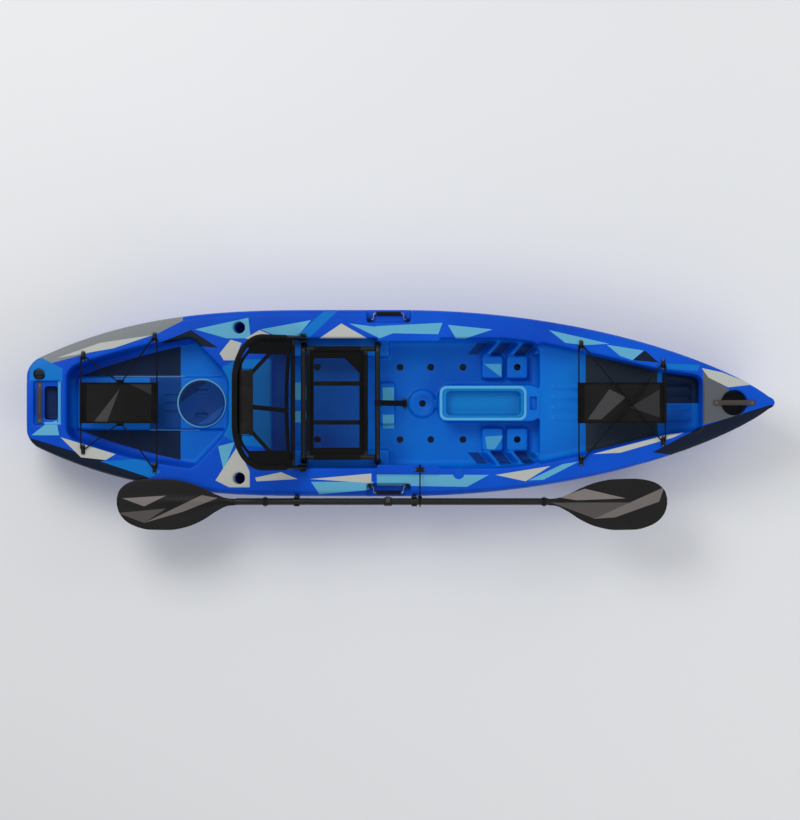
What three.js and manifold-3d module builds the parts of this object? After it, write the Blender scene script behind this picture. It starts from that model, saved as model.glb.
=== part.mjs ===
// A sit-on-top fishing kayak with a framed mesh seat, deck rigging, a hatch and a stowed two-piece paddle.
// Lengths are in millimetres. +X points to the bow, +Y to port and +Z up. The origin lies on the flat
// keel strip amidships, where the hull stands on level ground.

import * as THREE from 'three';
import { mergeVertices } from 'three/addons/utils/BufferGeometryUtils.js';
import Module from 'manifold-3d';

const wasm = await Module();
wasm.setup();

// Hull
const hullLength = 3250;
const hullBeam = 816;
const gunwaleHeight = 290;
const bowHeight = 400;
const sternHeight = 335;
const deckCrown = 10;
const wallThickness = 4;
const bowRocker = 110;
const stemRise = 150;
const sternRocker = 50;
const transomRise = 60;
const bowNose = 24;
const stemEdge = 2;
const stemLength = 120;
const sternCorner = 50;
const keelFlatShare = 0.277;
const parallelShare = 0.094;
const bowOutlinePower = 0.78;
const sternOutlinePower = 2.9;
const sternNarrowShare = 0.58;
const sheerPower = 2.5;
const rockerPower = 2.2;
const stemPower = 12;
const bowVeeShare = 0.3;
const sternVeeStartShare = 0.45;
const sternVeeShare = 0.4;

// Clearances and facet counts
const seatGap = 0.3;
const runningGap = 0.3;
const overrun = 3;
const sharpCorner = 1;
const cornerSteps = 3;
const stemSteps = 5;
const roundSides = 14;
const tubeSides = 10;
const cordSides = 8;
const eyeSides = 6;
const bendSteps = 4;
const bossSides = 12;
const scupperSides = 8;
const recessSides = 24;
const outerSpans = 21;
const innerSpans = 8;
const cavityBowGap = 40;
const slopeStep = 20;

// Tank well, behind the seat
const sternDeckLength = 172;
const tankWellFore = -748;
const tankChamferAft = -905;
const tankChamferHalf = 120;
const gunwaleWidth = 100;
const tankFloor = 165;
const tankCorner = 40;
const wellDraft = 10;
const wellFillet = 22;
const rimRound = 6;
const platformHalf = 115;
const platformHeight = 15;
const platformInset = 34;
const grooveLength = 65;
const grooveWidth = 9;
const grooveDepth = 5;
const groovePitch = 36;
const grooveStation = -1032;

// Cockpit
const cockpitAft = -560;
const cockpitFore = 620;
const cockpitGunwale = 125;
const cockpitFloor = 95;
const cockpitCorner = 50;
const ledgeHeight = 215;
const ledgeInside = 78;
const ledgeAftReach = 80;
const ledgeForeReach = 50;
const floorBlockGap = 8;
const floorBlockLength = 67;
const floorBlockHalf = 92;
const floorBlockHeight = 26;
const bossRadius = 60;
const bossHeight = 14;
const bossBore = 34;
const bossStation = 99;
const consoleAft = 167;
const consoleHalf = 80;
const consoleTop = 204;
const consoleCorner = 62;
const consoleLip = 10;
const trayAft = 203;
const trayFore = 530;
const trayHalf = 53;
const trayDepth = 40;
const trayCorner = 18;
const slotAft = 569;
const slotLength = 32;
const slotHalf = 30;
const slotDepth = 20;
const heelBlockAft = 361;
const heelBlockLength = 92;
const heelBlockGap = 18;
const heelBlockInside = 29;
const heelBlockOutside = 73;
const heelBlockHeight = 35;
const treadAft = 352;
const treadPitch = 104;
const treadCount = 3;
const treadLength = 46;
const treadSlant = 58;
const treadHeight = 78;
const treadLead = 30;
const scupperRadius = 15;
const scupperStations = [-365, 0, 136, 278];

// Bow well
const bowDeckLength = 308;
const bowFloor = 198;
const bowWellAft = 590;
const bowCorner = 34;
const bowRimShares = [0.73, 0.6, 0.66];
const bowRimMiddle = 480;
const ribHeight = 5;
const ribWidth = 14;
const ribPitch = 46;
const ribAft = 668;
const ribEndGap = 45;
const ribCount = 4;

// Rod holders
const rodHolderStation = -704;
const rodHolderInset = 72;
const rodHolderRadius = 26;
const rodHolderDepth = 200;
const rodHolderTilt = THREE.MathUtils.degToRad(10);

// Gear pads on the gunwales, and the round accessory seat on the starboard one
const gearPadAft = -100;
const gearPadLength = 274;
const gearPadInset = 30;
const gearPadWidth = 44;
const gearPadHeight = 5;
const dotStation = 256;
const dotInset = 92;
const dotRadius = 25;
const dotDepth = 2;

// Hatch in the tank well floor
const hatchStation = -871;
const hatchRadius = 108;
const hatchCollarRadius = 96;
const hatchBore = 90;
const hatchFlange = 6;
const hatchShoulder = 2.3;
const hatchShoulderRadius = 101;
const hatchCollarDepth = 22;
const hatchLidThickness = 5;
const hatchSkirtDepth = 12;
const hatchSides = 24;
const sealInner = 92;
const sealOuter = 98;
const sealHeight = 3;
const gripScoopOffset = 52;
const gripScoopLength = 54;
const gripScoopWidth = 20;
const gripScoopDepth = 9;

// Stern handle landing, and the recesses under the end handles
const landingAft = 28;
const landingLength = 122;
const landingHalf = 98;
const landingSink = 6;
const fingerAft = 75;
const fingerLength = 59;
const fingerHalf = 73;
const fingerDepth = 44;
const bowHandleInset = 174;
const bowRecessRadius = 55;
const bowRecessDepth = 42;

// Notches in the gunwales for the carry handles
const sidePocketMiddle = -50;
const sidePocketLength = 196;
const sidePocketWidth = 58;
const sidePocketFloor = 42;

// Drain plug on the stern deck
const drainStation = 55;
const drainSide = 125;
const drainHole = 12;
const drainStem = 11.6;
const drainStemLength = 18;
const drainHead = 21;
const drainHeadHeight = 10;
const drainWing = 7;
const drainWingHeight = 9;
const drainSpotRadius = 26;
const drainSpotDepth = 5;
const washerHeight = 2;
const washerRadius = 19;

// Rigging
const cordRadius = 3;
const eyeLength = 46;
const eyeWidth = 18;
const eyeBase = 4;
const eyeArchHalf = 10;
const eyeArchHeight = 18;
const eyeArchRadius = 3.2;
const eyeArchBend = 8;
const eyeCordHeight = 8;
const eyeTurnRadius = 10;
const sternEyeAft = 245;
const sternEyeFore = 555;
const sternEyeInset = 74;
const sternApex = 405;
const sternApexHalf = 98;
const bowEyeAft = 835;
const bowEyeFore = 480;
const bowEyeInset = 24;
const panelHalf = 89;
const panelThickness = 3;
const panelDrop = 1.2;
const panelHem = 14;
const panelTabLength = 34;
const panelPostRadius = 4;
const panelPostHeight = 12;
const cordCrossing = 8;
const cordSplit = 2;
const cordPasses = 24;
const cordBendSteps = 5;

// Handles
const endHandleLength = 180;
const endHandleFoot = 26;
const endHandleRamp = 14;
const endHandleRise = 11;
const endHandleThickness = 7;
const endHandleFootThickness = 4.5;
const endHandleWidth = 22;
const endGripRadius = 10;
const bailReach = 28;
const bailHalf = 66;
const bailPin = 18;
const bailRadius = 3.5;
const bailBend = 9;
const gripLength = 108;
const gripRadius = 9;
const bracketLength = 12;
const bracketWidth = 14;
const bracketHeight = 18;
const pivotRise = 10;

// Seat
const seatRear = -422;
const seatDepth = 324;
const tubeRadius = 11;
const barRadius = 9;
const seatLegHeight = 85;
const legInset = 28;
const legBend = 34;
const railInset = 47;
const rearBarGap = 11;
const frontBarGap = 52;
const footRadius = 15;
const footSole = 8;
const footCup = 30;
const footClear = 0.8;
const plateThickness = 4;
const plateHalf = 20;
const plateFoot = 50;
const pivotHeight = 22;
const boltRadius = 4;
const boltHeadRadius = 8;
const boltHeadHeight = 3;
const knobRadius = 13;
const knobHeight = 9;
const recline = THREE.MathUtils.degToRad(38);
const backLength = 460;
const backTail = 14;
const backBend = 190;
const backBarHeight = 70;
const archSteps = 8;
const slingThickness = 2.5;
const seatSag = 14;
const backSag = 18;
const slingSteps = 10;
const strapWidth = 25;
const strapThickness = 2;
const seatStrapSide = 85;
const padHalf = 150;
const padHeight = 96;
const padTopGap = 22;
const padEdge = 7;
const padCrown = 15;
const padPinch = 6;
const padRows = 7;
const padColumns = 8;
const tieRun = 120;

// Paddle, keeper and cradles
const paddleLength = 2400;
const paddleStation = -35;
const shaftRadius = 15;
const shaftBore = 13.2;
const ferruleRadius = 12.9;
const ferruleBore = 11;
const ferruleLength = 120;
const shaftOffset = 22;
const shaftRise = 35;
const bladeLength = 520;
const bladeNeck = 60;
const bladeInner = 100;
const bladeOuter = 124;
const bladeEdge = 3;
const bladeSpine = 9;
const bladeCurl = 16;
const dripRingAftGap = 128;
const dripRingForeGap = 18;
const dripRingRadius = 24;
const dripRingLength = 22;
const collarRadius = 18.6;
const collarLength = 34;
const leverThickness = 3.4;
const leverWidth = 18;
const leverPinRadius = 2.4;
const leverSweep = THREE.MathUtils.degToRad(130);
const cradleStations = [62, -450];
const cradleLength = 24;
const cradleFoot = 226;
const cradleGap = 0.5;
const cradleWall = 5;
const cradleArm = 8;
const cradleClear = 0.4;
const keeperStation = 87;
const keeperAnchorGap = 14;
const keeperTurn = 19.5;
const keeperHookTop = 244;
const keeperHookHeight = 14;
const keeperHookReach = 10;
const keeperKnotRadius = 5;
const keeperKnotLength = 9;

// Helpers for shapes
const yAxis = new THREE.Vector3(0, 1, 0);
const zAxis = new THREE.Vector3(0, 0, 1);
const point = (x, y, z) => new THREE.Vector3(x, y, z);
const { lerp, smoothstep } = THREE.MathUtils;
const total = (values) => values.reduce((sum, value) => sum + value, 0);

// A closed three.js geometry as a solid that can be joined and cut.
function solidOf(geometry) {
  geometry.deleteAttribute('normal');
  geometry.deleteAttribute('uv');
  const merged = mergeVertices(geometry);
  const mesh = new wasm.Mesh({
    numProp: 3,
    vertProperties: new Float32Array(merged.attributes.position.array),
    triVerts: new Uint32Array(merged.index.array),
  });
  const solid = new wasm.Manifold(mesh);
  if (solid.volume() > 0) {
    return solid;
  }
  mesh.triVerts = mesh.triVerts.reverse();
  return new wasm.Manifold(mesh);
}

function geometryOf(solid) {
  const mesh = solid.getMesh();
  const geometry = new THREE.BufferGeometry();
  geometry.setAttribute('position', new THREE.BufferAttribute(mesh.vertProperties, mesh.numProp));
  geometry.setIndex(new THREE.BufferAttribute(mesh.triVerts, 1));
  geometry.computeVertexNormals();
  return geometry;
}

const join = (solids) => solids.reduce((whole, solid) => whole.add(solid));

// A skin over a row of rings with equally many points, closed at both ends by the cap's triangles.
function loft(rings, capFaces) {
  const count = rings[0].length;
  const positions = rings.flat().flatMap((p) => [p.x, p.y, p.z]);
  const faces = [];
  for (let r = 0; r < rings.length - 1; r++) {
    for (let i = 0; i < count; i++) {
      const a = r * count + i;
      const b = r * count + ((i + 1) % count);
      faces.push([a, b, b + count], [a, b + count, a + count]);
    }
  }
  const last = (rings.length - 1) * count;
  for (const [a, b, c] of capFaces) {
    faces.push([c, b, a], [last + a, last + b, last + c]);
  }
  const at = (i) => point(...positions.slice(3 * i, 3 * i + 3));
  const volume = total(faces.map(([a, b, c]) => at(a).dot(at(b).cross(at(c)))));
  const outward = volume > 0 ? faces : faces.map(([a, b, c]) => [a, c, b]);
  const geometry = new THREE.BufferGeometry();
  geometry.setAttribute('position', new THREE.Float32BufferAttribute(positions, 3));
  geometry.setIndex(outward.flat());
  return solidOf(geometry);
}

// Triangles across a ring whose second half runs back beside its first.
function ladderFaces(count) {
  const faces = [];
  for (let i = 0; i < count / 2 - 1; i++) {
    const j = count - 1 - i;
    faces.push([i, i + 1, j - 1], [i, j - 1, j]);
  }
  return faces;
}

// How far a rounded corner draws a side in, at a distance from the end.
function cornerCut(distance, radius) {
  const inside = THREE.MathUtils.clamp(distance, 0, radius);
  return radius - Math.sqrt(radius ** 2 - (radius - inside) ** 2);
}

// One level of a moulded form: its plan drawn in by an inset, at a height or at a height for each x.
function planRing(plan, inset, height) {
  const aft = plan.aft + inset;
  const fore = plan.fore - inset;
  const corner = Math.max(plan.corner - inset, sharpCorner);
  const arc = Array.from({ length: cornerSteps + 1 }, (_, k) => {
    return corner * (1 - Math.cos(((k / cornerSteps) * Math.PI) / 2));
  });
  const spans = plan.spans ?? 1;
  const middle = Array.from({ length: spans - 1 }, (_, k) => {
    return lerp(aft + corner, fore - corner, (k + 1) / spans);
  });
  const stations = [...arc.map((u) => aft + u), ...middle, ...arc.reverse().map((u) => fore - u)];
  const draw = (x) => inset + cornerCut(x - aft, corner) + cornerCut(fore - x, corner);
  const level = typeof height === 'function' ? height : () => height;
  const port = stations.map((x) => point(x, plan.port(x) - draw(x), level(x)));
  const starboard = stations.map((x) => point(x, plan.starboard(x) + draw(x), level(x)));
  return [...port, ...starboard.reverse()];
}

function moulding(plan, levels) {
  const rings = levels.map(([inset, height]) => planRing(plan, inset, height));
  return loft(rings, ladderFaces(rings[0].length));
}

const mirrored = (half) => ({ port: half, starboard: (x) => -half(x) });
const between = (low, high) => ({ port: () => high, starboard: () => low });

function rod(start, end, radius, sides = roundSides) {
  const axis = end.clone().sub(start);
  const geometry = new THREE.CylinderGeometry(radius, radius, axis.length(), sides);
  geometry.applyQuaternion(new THREE.Quaternion().setFromUnitVectors(yAxis, axis.normalize()));
  geometry.translate(...start.clone().lerp(end, 1 / 2));
  return solidOf(geometry);
}

function block(low, high) {
  const size = high.clone().sub(low);
  const geometry = new THREE.BoxGeometry(size.x, size.y, size.z);
  geometry.translate(...low.clone().lerp(high, 1 / 2));
  return solidOf(geometry);
}

// A solid of revolution about Z from a closed profile of [radius, height] points.
function turned(profile, sides = roundSides) {
  const closed = profile[0][0] === 0 ? profile : [...profile, profile[0]];
  const geometry = new THREE.LatheGeometry(closed.map(([r, z]) => new THREE.Vector2(r, z)), sides);
  geometry.rotateX(Math.PI / 2);
  return solidOf(geometry);
}

// A route of straight runs whose corners are bent to a radius, with one station at each end of a run and
// a few round each bend.
class BentRoute extends THREE.Curve {
  constructor(corners, bend, steps) {
    super();
    this.stations = corners.flatMap((corner, i) => {
      const [before, after] = [corners[i - 1], corners[i + 1]];
      if (!before || !after) {
        const along = after ? after.clone().sub(corner) : corner.clone().sub(before);
        return [{ at: corner, along: along.normalize() }];
      }
      const into = corner.clone().sub(before).normalize();
      const out = after.clone().sub(corner).normalize();
      const turn = into.angleTo(out);
      const axis = into.clone().cross(out).normalize();
      const inward = axis.clone().cross(into);
      const start = corner.clone().addScaledVector(into, -bend * Math.tan(turn / 2));
      const centre = start.clone().addScaledVector(inward, bend);
      return Array.from({ length: steps + 1 }, (_, k) => {
        const swing = (turn * k) / steps;
        const spoke = inward.clone().applyAxisAngle(axis, swing);
        const at = centre.clone().addScaledVector(spoke, -bend);
        return { at, along: into.clone().applyAxisAngle(axis, swing) };
      });
    });
  }

  station(u) {
    return this.stations[Math.round(u * (this.stations.length - 1))];
  }

  getPoint(u) {
    return this.station(u).at.clone();
  }

  getPointAt(u) {
    return this.station(u).at.clone();
  }

  getTangentAt(u) {
    return this.station(u).along.clone();
  }
}

function tube(corners, radius, bend, sides = tubeSides, steps = bendSteps) {
  const route = new BentRoute(corners, bend, steps);
  const section = new THREE.Shape(Array.from({ length: sides }, (_, k) => {
    const angle = (k / sides) * 2 * Math.PI;
    return new THREE.Vector2(radius * Math.cos(angle), radius * Math.sin(angle));
  }));
  return solidOf(new THREE.ExtrudeGeometry(section, {
    steps: route.stations.length - 1,
    extrudePath: route,
    bevelEnabled: false,
  }));
}

// Hull lines
const bowEnd = hullLength / 2;
const sternEnd = -hullLength / 2;
const halfBeam = hullBeam / 2;
const keelFlat = keelFlatShare * hullLength;
const parallelEnd = -parallelShare * hullLength;

function halfBreadth(x) {
  if (x > 0) {
    const noseStart = bowEnd - bowNose;
    const along = Math.min(x, noseStart) / bowEnd;
    const noseAlong = Math.min(Math.max(x - noseStart, 0) / bowNose, 1);
    const nose = Math.sqrt(1 - noseAlong ** 2);
    return Math.max(halfBeam * (1 - along ** 2) ** bowOutlinePower * nose, stemEdge);
  }
  const along = Math.max((x - parallelEnd) / (sternEnd - parallelEnd), 0);
  return halfBeam * (1 - sternNarrowShare * along ** sternOutlinePower);
}

function gunwaleAt(x) {
  const end = x > 0 ? bowHeight : sternHeight;
  return lerp(gunwaleHeight, end, Math.abs(x / bowEnd) ** sheerPower);
}

function deckAt(x, y) {
  return gunwaleAt(x) + deckCrown * (1 - (y / halfBreadth(x)) ** 2);
}

function keelAt(x) {
  const along = Math.max((Math.abs(x) - keelFlat) / (bowEnd - keelFlat), 0);
  const [rocker, rise] = x > 0 ? [bowRocker, stemRise] : [sternRocker, transomRise];
  return rocker * along ** rockerPower + rise * along ** stemPower;
}

function veeAt(x) {
  if (x > 0) {
    return smoothstep(x / bowEnd, bowVeeShare, 1);
  }
  return sternVeeShare * smoothstep(x / sternEnd, sternVeeStartShare, 1);
}

// Half sections from the keel strip over tunnel, runner, bilge and side to the gunwale, as shares of the
// half-breadth and of the depth: one for amidships, where the hull stands on keel and runners, and one
// for the ends, where it closes to a vee.
const midSectionShares = [
  [0.07, 0], [0.14, 0.05], [0.26, 0.06], [0.4, 0], [0.62, 0], [0.8, 0.055],
  [0.93, 0.22], [0.985, 0.5], [1, 0.82], [0.99, 0.95], [0.95, 1],
];
const endSectionShares = [
  [0.05, 0], [0.13, 0.05], [0.25, 0.12], [0.4, 0.22], [0.6, 0.38], [0.76, 0.52],
  [0.88, 0.66], [0.95, 0.79], [1, 0.92], [0.985, 0.97], [0.95, 1],
];
const deckShares = [0.7, 0.35];

// The hull's section at a station, or the section a wall further in.
function hullRing(x, inset) {
  const half = halfBreadth(x) - cornerCut(x - sternEnd, sternCorner) - inset;
  const bottom = keelAt(x) + inset;
  const edge = gunwaleAt(x) - inset;
  const vee = veeAt(x);
  const side = midSectionShares.map(([y, z], i) => {
    const [endY, endZ] = endSectionShares[i];
    return [half * lerp(y, endY, vee), lerp(bottom, edge, lerp(z, endZ, vee))];
  });
  const deck = deckShares.map((share) => [half * share, edge + deckCrown * (1 - share ** 2)]);
  const port = [...side, ...deck];
  return [
    point(x, 0, bottom),
    ...port.map(([y, z]) => point(x, y, z)),
    point(x, 0, edge + deckCrown),
    ...port.reverse().map(([y, z]) => point(x, -y, z)),
  ];
}

function hullLoft(stations, inset) {
  const rings = stations.map((x) => hullRing(x, inset));
  const end = rings[0].map((p) => new THREE.Vector2(p.y, p.z));
  return loft(rings, THREE.ShapeUtils.triangulateShape(end, []));
}

// Stations bunch round the stern's rounded corners and up the stem, and lie closer near both ends than
// amidships.
function hullStations(aft, fore, spans) {
  const corner = Array.from({ length: cornerSteps }, (_, k) => {
    return aft + sternCorner * (1 - Math.cos(((k / cornerSteps) * Math.PI) / 2));
  });
  const stem = Array.from({ length: stemSteps }, (_, k) => {
    return fore - stemLength * (1 - Math.sin((((k + 1) / stemSteps) * Math.PI) / 2));
  });
  const middle = Array.from({ length: spans + 1 }, (_, k) => {
    const even = k / spans;
    const bunched = (1 - Math.cos(even * Math.PI)) / 2;
    return lerp(aft + sternCorner, fore - stemLength, (even + bunched) / 2);
  });
  return [...corner, ...middle, ...stem];
}

const outerHull = hullLoft(hullStations(sternEnd, bowEnd, outerSpans), 0);
const innerAft = sternEnd + wallThickness;
const innerFore = bowEnd - cavityBowGap;
const innerHull = hullLoft(hullStations(innerAft, innerFore, innerSpans), wallThickness);

// A recess from the deck down to its floor. Growth makes the space that the recess and its walls take up.
function recess(plan, floor, growth = 0) {
  const rim = (x) => deckAt(x, plan.port(x));
  const base = floor - growth;
  return moulding(plan, [
    [-rimRound - growth, (x) => rim(x) + overrun + deckCrown],
    [-rimRound - growth, rim],
    [-growth, (x) => rim(x) - rimRound],
    [wellDraft - growth, base + wellFillet],
    [wellDraft + wellFillet / 3 - growth, base + wellFillet / 3],
    [wellDraft + wellFillet - growth, base],
  ]);
}

// A raised form that stands in a recess or on a deck, with drafted sides and a rounded top edge.
function mound(plan, base, top, growth = 0) {
  const height = top - base;
  const draft = (wellDraft * height) / gunwaleHeight;
  const round = Math.min(rimRound, height / 2);
  return moulding(plan, [
    [-growth - draft, base - overrun - wallThickness],
    [-growth, top + growth - round],
    [round - growth, top + growth],
  ]);
}

// Recesses
const tankHalf = (x) => {
  const along = (x - tankChamferAft) / (tankWellFore - tankChamferAft);
  const side = halfBreadth(x) - gunwaleWidth;
  return along > 0 ? lerp(halfBreadth(tankChamferAft) - gunwaleWidth, tankChamferHalf, along) : side;
};
const tankWell = {
  aft: sternEnd + sternDeckLength,
  fore: tankWellFore,
  corner: tankCorner,
  spans: 6,
  ...mirrored(tankHalf),
};
const cockpitHalf = halfBeam - cockpitGunwale;
const cockpit = {
  aft: cockpitAft,
  fore: cockpitFore,
  corner: cockpitCorner,
  spans: 4,
  ...mirrored((x) => Math.min(halfBreadth(x) - gunwaleWidth, cockpitHalf)),
};
const bowWellFore = bowEnd - bowDeckLength;
const bowRimMid = bowEnd - bowRimMiddle;
const bowRimShare = (x) => {
  const [aftShare, midShare, foreShare] = bowRimShares;
  if (x < bowRimMid) {
    return lerp(aftShare, midShare, Math.max((x - cockpitFore) / (bowRimMid - cockpitFore), 0));
  }
  return lerp(midShare, foreShare, (x - bowRimMid) / (bowWellFore - bowRimMid));
};
const bowWell = {
  aft: bowWellAft,
  fore: bowWellFore,
  corner: bowCorner,
  spans: 6,
  ...mirrored((x) => Math.min(halfBreadth(x) * bowRimShare(x), cockpitHalf)),
};

// The seat's front legs, whose stations the hull's ledges follow
const seatFront = seatRear + seatDepth;

// Raised forms in the recesses
const tankPlatform = {
  aft: tankWell.aft + platformInset,
  fore: tankWellFore + overrun,
  corner: rimRound + overrun,
  ...mirrored(() => platformHalf),
};
const platformTop = tankFloor + platformHeight;
const ledges = [1, -1].map((side) => {
  const edges = [side * (cockpitHalf - ledgeInside), side * halfBeam].sort((a, b) => a - b);
  return {
    aft: seatRear - ledgeAftReach,
    fore: seatFront + ledgeForeReach,
    corner: rimRound + overrun,
    ...between(...edges),
  };
});
const floorBlock = {
  aft: seatFront + floorBlockGap,
  fore: seatFront + floorBlockGap + floorBlockLength,
  corner: rimRound + overrun,
  ...mirrored(() => floorBlockHalf),
};
const consoleMound = {
  aft: consoleAft,
  fore: cockpitFore + consoleLip,
  corner: consoleCorner,
  ...mirrored(() => consoleHalf),
};
const heelInner = consoleHalf + heelBlockInside;
const heelOuter = cockpitHalf - heelBlockOutside;
const scupperSide = (heelInner + heelOuter) / 2;
const heelBlocks = [0, 1].flatMap((row) => {
  const aft = heelBlockAft + row * (heelBlockLength + heelBlockGap);
  return [[heelInner, heelOuter], [-heelOuter, -heelInner]].map((edges) => {
    return { aft, fore: aft + heelBlockLength, corner: rimRound + overrun, ...between(...edges) };
  });
});
const foreScupper = heelBlockAft + heelBlockLength + heelBlockGap + heelBlockLength / 2;

// One tread of the stepped footrests: a slanted wedge between the floor and the cockpit side.
function tread(index, side) {
  const inner = heelOuter + rimRound;
  const outer = halfBeam - gunwaleWidth;
  const slant = ((outer - inner) * treadSlant) / heelBlockOutside;
  const aft = treadAft + index * treadPitch;
  const low = cockpitFloor - wallThickness;
  const levels = [[0, low], [treadLead, cockpitFloor + treadHeight]];
  const rings = levels.map(([lead, z]) => [
    point(aft + lead, side * inner, z),
    point(aft + treadLength, side * inner, z),
    point(aft + treadLength + slant, side * outer, z),
    point(aft + slant + lead, side * outer, z),
  ]);
  return loft(rings, ladderFaces(rings[0].length));
}

const treads = Array.from({ length: treadCount }, (_, k) => [tread(k, 1), tread(k, -1)]).flat();

const bossMound = turned([
  [0, cockpitFloor - overrun - wallThickness],
  [bossRadius + rimRound, cockpitFloor - overrun - wallThickness],
  [bossRadius, cockpitFloor + bossHeight - rimRound],
  [bossRadius - rimRound, cockpitFloor + bossHeight],
  [bossBore, cockpitFloor + bossHeight],
  [bossBore - rimRound, cockpitFloor + rimRound],
  [0, cockpitFloor + rimRound],
], bossSides).translate(bossStation, 0, 0);

function ribPlan(index) {
  const middle = (index - (ribCount - 1) / 2) * ribPitch;
  return {
    aft: ribAft,
    fore: bowWellFore - ribEndGap,
    corner: ribWidth / 4,
    ...between(middle - ribWidth / 2, middle + ribWidth / 2),
  };
}

const lowMounds = [
  mound(floorBlock, cockpitFloor, cockpitFloor + floorBlockHeight),
  ...heelBlocks.map((plan) => mound(plan, cockpitFloor, cockpitFloor + heelBlockHeight)),
  ...Array.from({ length: ribCount }, (_, k) => mound(ribPlan(k), bowFloor, bowFloor + ribHeight)),
  ...treads,
  bossMound,
];
const hollowMounds = (growth) => [
  mound(tankPlatform, tankFloor, platformTop, growth),
  mound(consoleMound, cockpitFloor, consoleTop, growth),
  ...ledges.map((plan) => mound(plan, cockpitFloor, ledgeHeight, growth)),
];
const wells = (growth) => join([
  recess(tankWell, tankFloor, growth),
  recess(cockpit, cockpitFloor, growth),
  recess(bowWell, bowFloor, growth),
]);

// Through holes: scuppers from floor to bottom, and the rod holder tubes
const scupperPlaces = [
  ...[...scupperStations, foreScupper].flatMap((x) => [[x, scupperSide], [x, -scupperSide]]),
  [bossStation, 0],
];
const scuppers = (growth) => join(scupperPlaces.map(([x, y]) => {
  const low = point(x, y, growth > 0 ? 0 : -overrun);
  return rod(low, point(x, y, consoleTop), scupperRadius + growth, scupperSides);
}));

const rodHolderSide = halfBreadth(rodHolderStation) - rodHolderInset;
const rodLean = point(-Math.sin(rodHolderTilt), 0, Math.cos(rodHolderTilt));
const rodHolders = (growth) => join([1, -1].map((side) => {
  const mouth = point(rodHolderStation, side * rodHolderSide, deckAt(rodHolderStation, rodHolderSide));
  const foot = mouth.clone().addScaledVector(rodLean, -rodHolderDepth - growth);
  const top = mouth.clone().addScaledVector(rodLean, rodHolderRadius);
  return rod(foot, top, rodHolderRadius + growth);
}));

// Stern handle landing with its finger recess, drain plug seat and bow handle recess
const landingFloor = gunwaleAt(sternEnd + landingAft + landingLength) - landingSink;
const landing = {
  aft: sternEnd + landingAft,
  fore: sternEnd + landingAft + landingLength,
  corner: rimRound + rimRound,
  ...mirrored(() => landingHalf),
};
const finger = {
  aft: sternEnd + fingerAft,
  fore: sternEnd + fingerAft + fingerLength,
  corner: rimRound + rimRound,
  ...mirrored(() => fingerHalf),
};
const pocket = (plan, top, floor, growth) => moulding(plan, [
  [-growth, top],
  [rimRound - growth, floor - growth],
]);
const deckTop = sternHeight + deckCrown + overrun;
const bowHandleStation = bowEnd - bowHandleInset;
const bowRecessTop = deckAt(bowHandleStation, 0);
const drainX = sternEnd + drainStation;
const drainFloor = deckAt(drainX, drainSide) - drainSpotDepth;
const endRecesses = (growth) => join([
  pocket(landing, deckTop, landingFloor, growth),
  pocket(finger, deckTop, landingFloor - fingerDepth, growth),
  rod(
    point(drainX, drainSide, drainFloor - growth),
    point(drainX, drainSide, deckTop),
    drainSpotRadius + growth,
  ),
  rod(
    point(bowHandleStation, 0, bowRecessTop - bowRecessDepth - growth),
    point(bowHandleStation, 0, bowHeight + deckCrown + overrun),
    bowRecessRadius + growth,
    recessSides,
  ),
]);

// Flat-floored notches in the gunwale's outer edge for the carry handles
const sidePocketInner = halfBeam - sidePocketWidth;
const pocketFloor = gunwaleHeight - sidePocketFloor;
const sidePockets = (growth) => join([1, -1].map((side) => {
  const edges = [side * sidePocketInner, side * (halfBeam + sidePocketWidth)].sort((a, b) => a - b);
  const plan = {
    aft: sidePocketMiddle - sidePocketLength / 2,
    fore: sidePocketMiddle + sidePocketLength / 2,
    corner: rimRound + rimRound,
    ...between(...edges),
  };
  return moulding(plan, [
    [-growth, gunwaleHeight + deckCrown + overrun],
    [rimRound - growth, pocketFloor - growth],
  ]);
}));

// Gear pads stand on the gunwale, and a round accessory seat is sunk into the starboard one
const gearPadOuter = cockpitHalf + gearPadInset;
const gearPadTop = gunwaleHeight + deckCrown * (1 - (cockpitHalf / halfBeam) ** 2) + gearPadHeight;
const gearPads = join([1, -1].map((side) => {
  const edges = [side * (gearPadOuter - gearPadWidth), side * gearPadOuter].sort((a, b) => a - b);
  const plan = {
    aft: gearPadAft,
    fore: gearPadAft + gearPadLength,
    corner: rimRound,
    ...between(...edges),
  };
  return moulding(plan, [[0, gunwaleHeight - wallThickness], [0, gearPadTop]]);
}));

const solidRecesses = wells(0).subtract(join([...hollowMounds(0), ...lowMounds]));
const walledRecesses = wells(wallThickness).subtract(join(hollowMounds(-wallThickness)));
const tray = moulding(
  { aft: trayAft, fore: trayFore, corner: trayCorner, ...mirrored(() => trayHalf) },
  [[0, consoleTop + overrun], [rimRound, consoleTop - trayDepth]],
);
const slot = moulding(
  { aft: slotAft, fore: slotAft + slotLength, corner: rimRound, ...mirrored(() => slotHalf) },
  [[0, consoleTop + overrun], [sharpCorner, consoleTop - slotDepth]],
);
const traySpace = moulding(
  { aft: trayAft, fore: trayFore, corner: trayCorner, ...mirrored(() => trayHalf) },
  [[-wallThickness, consoleTop + overrun], [-wallThickness, consoleTop - trayDepth - wallThickness]],
);
const slotSpace = moulding(
  { aft: slotAft, fore: slotAft + slotLength, corner: rimRound, ...mirrored(() => slotHalf) },
  [[-wallThickness, consoleTop + overrun], [-wallThickness, consoleTop - slotDepth - wallThickness]],
);
const grooves = join([-1, 0, 1].map((k) => {
  const low = point(grooveStation, k * groovePitch - grooveWidth / 2, platformTop - grooveDepth);
  const high = point(grooveStation + grooveLength, k * groovePitch + grooveWidth / 2, platformTop + overrun);
  return block(low, high);
}));

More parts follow.
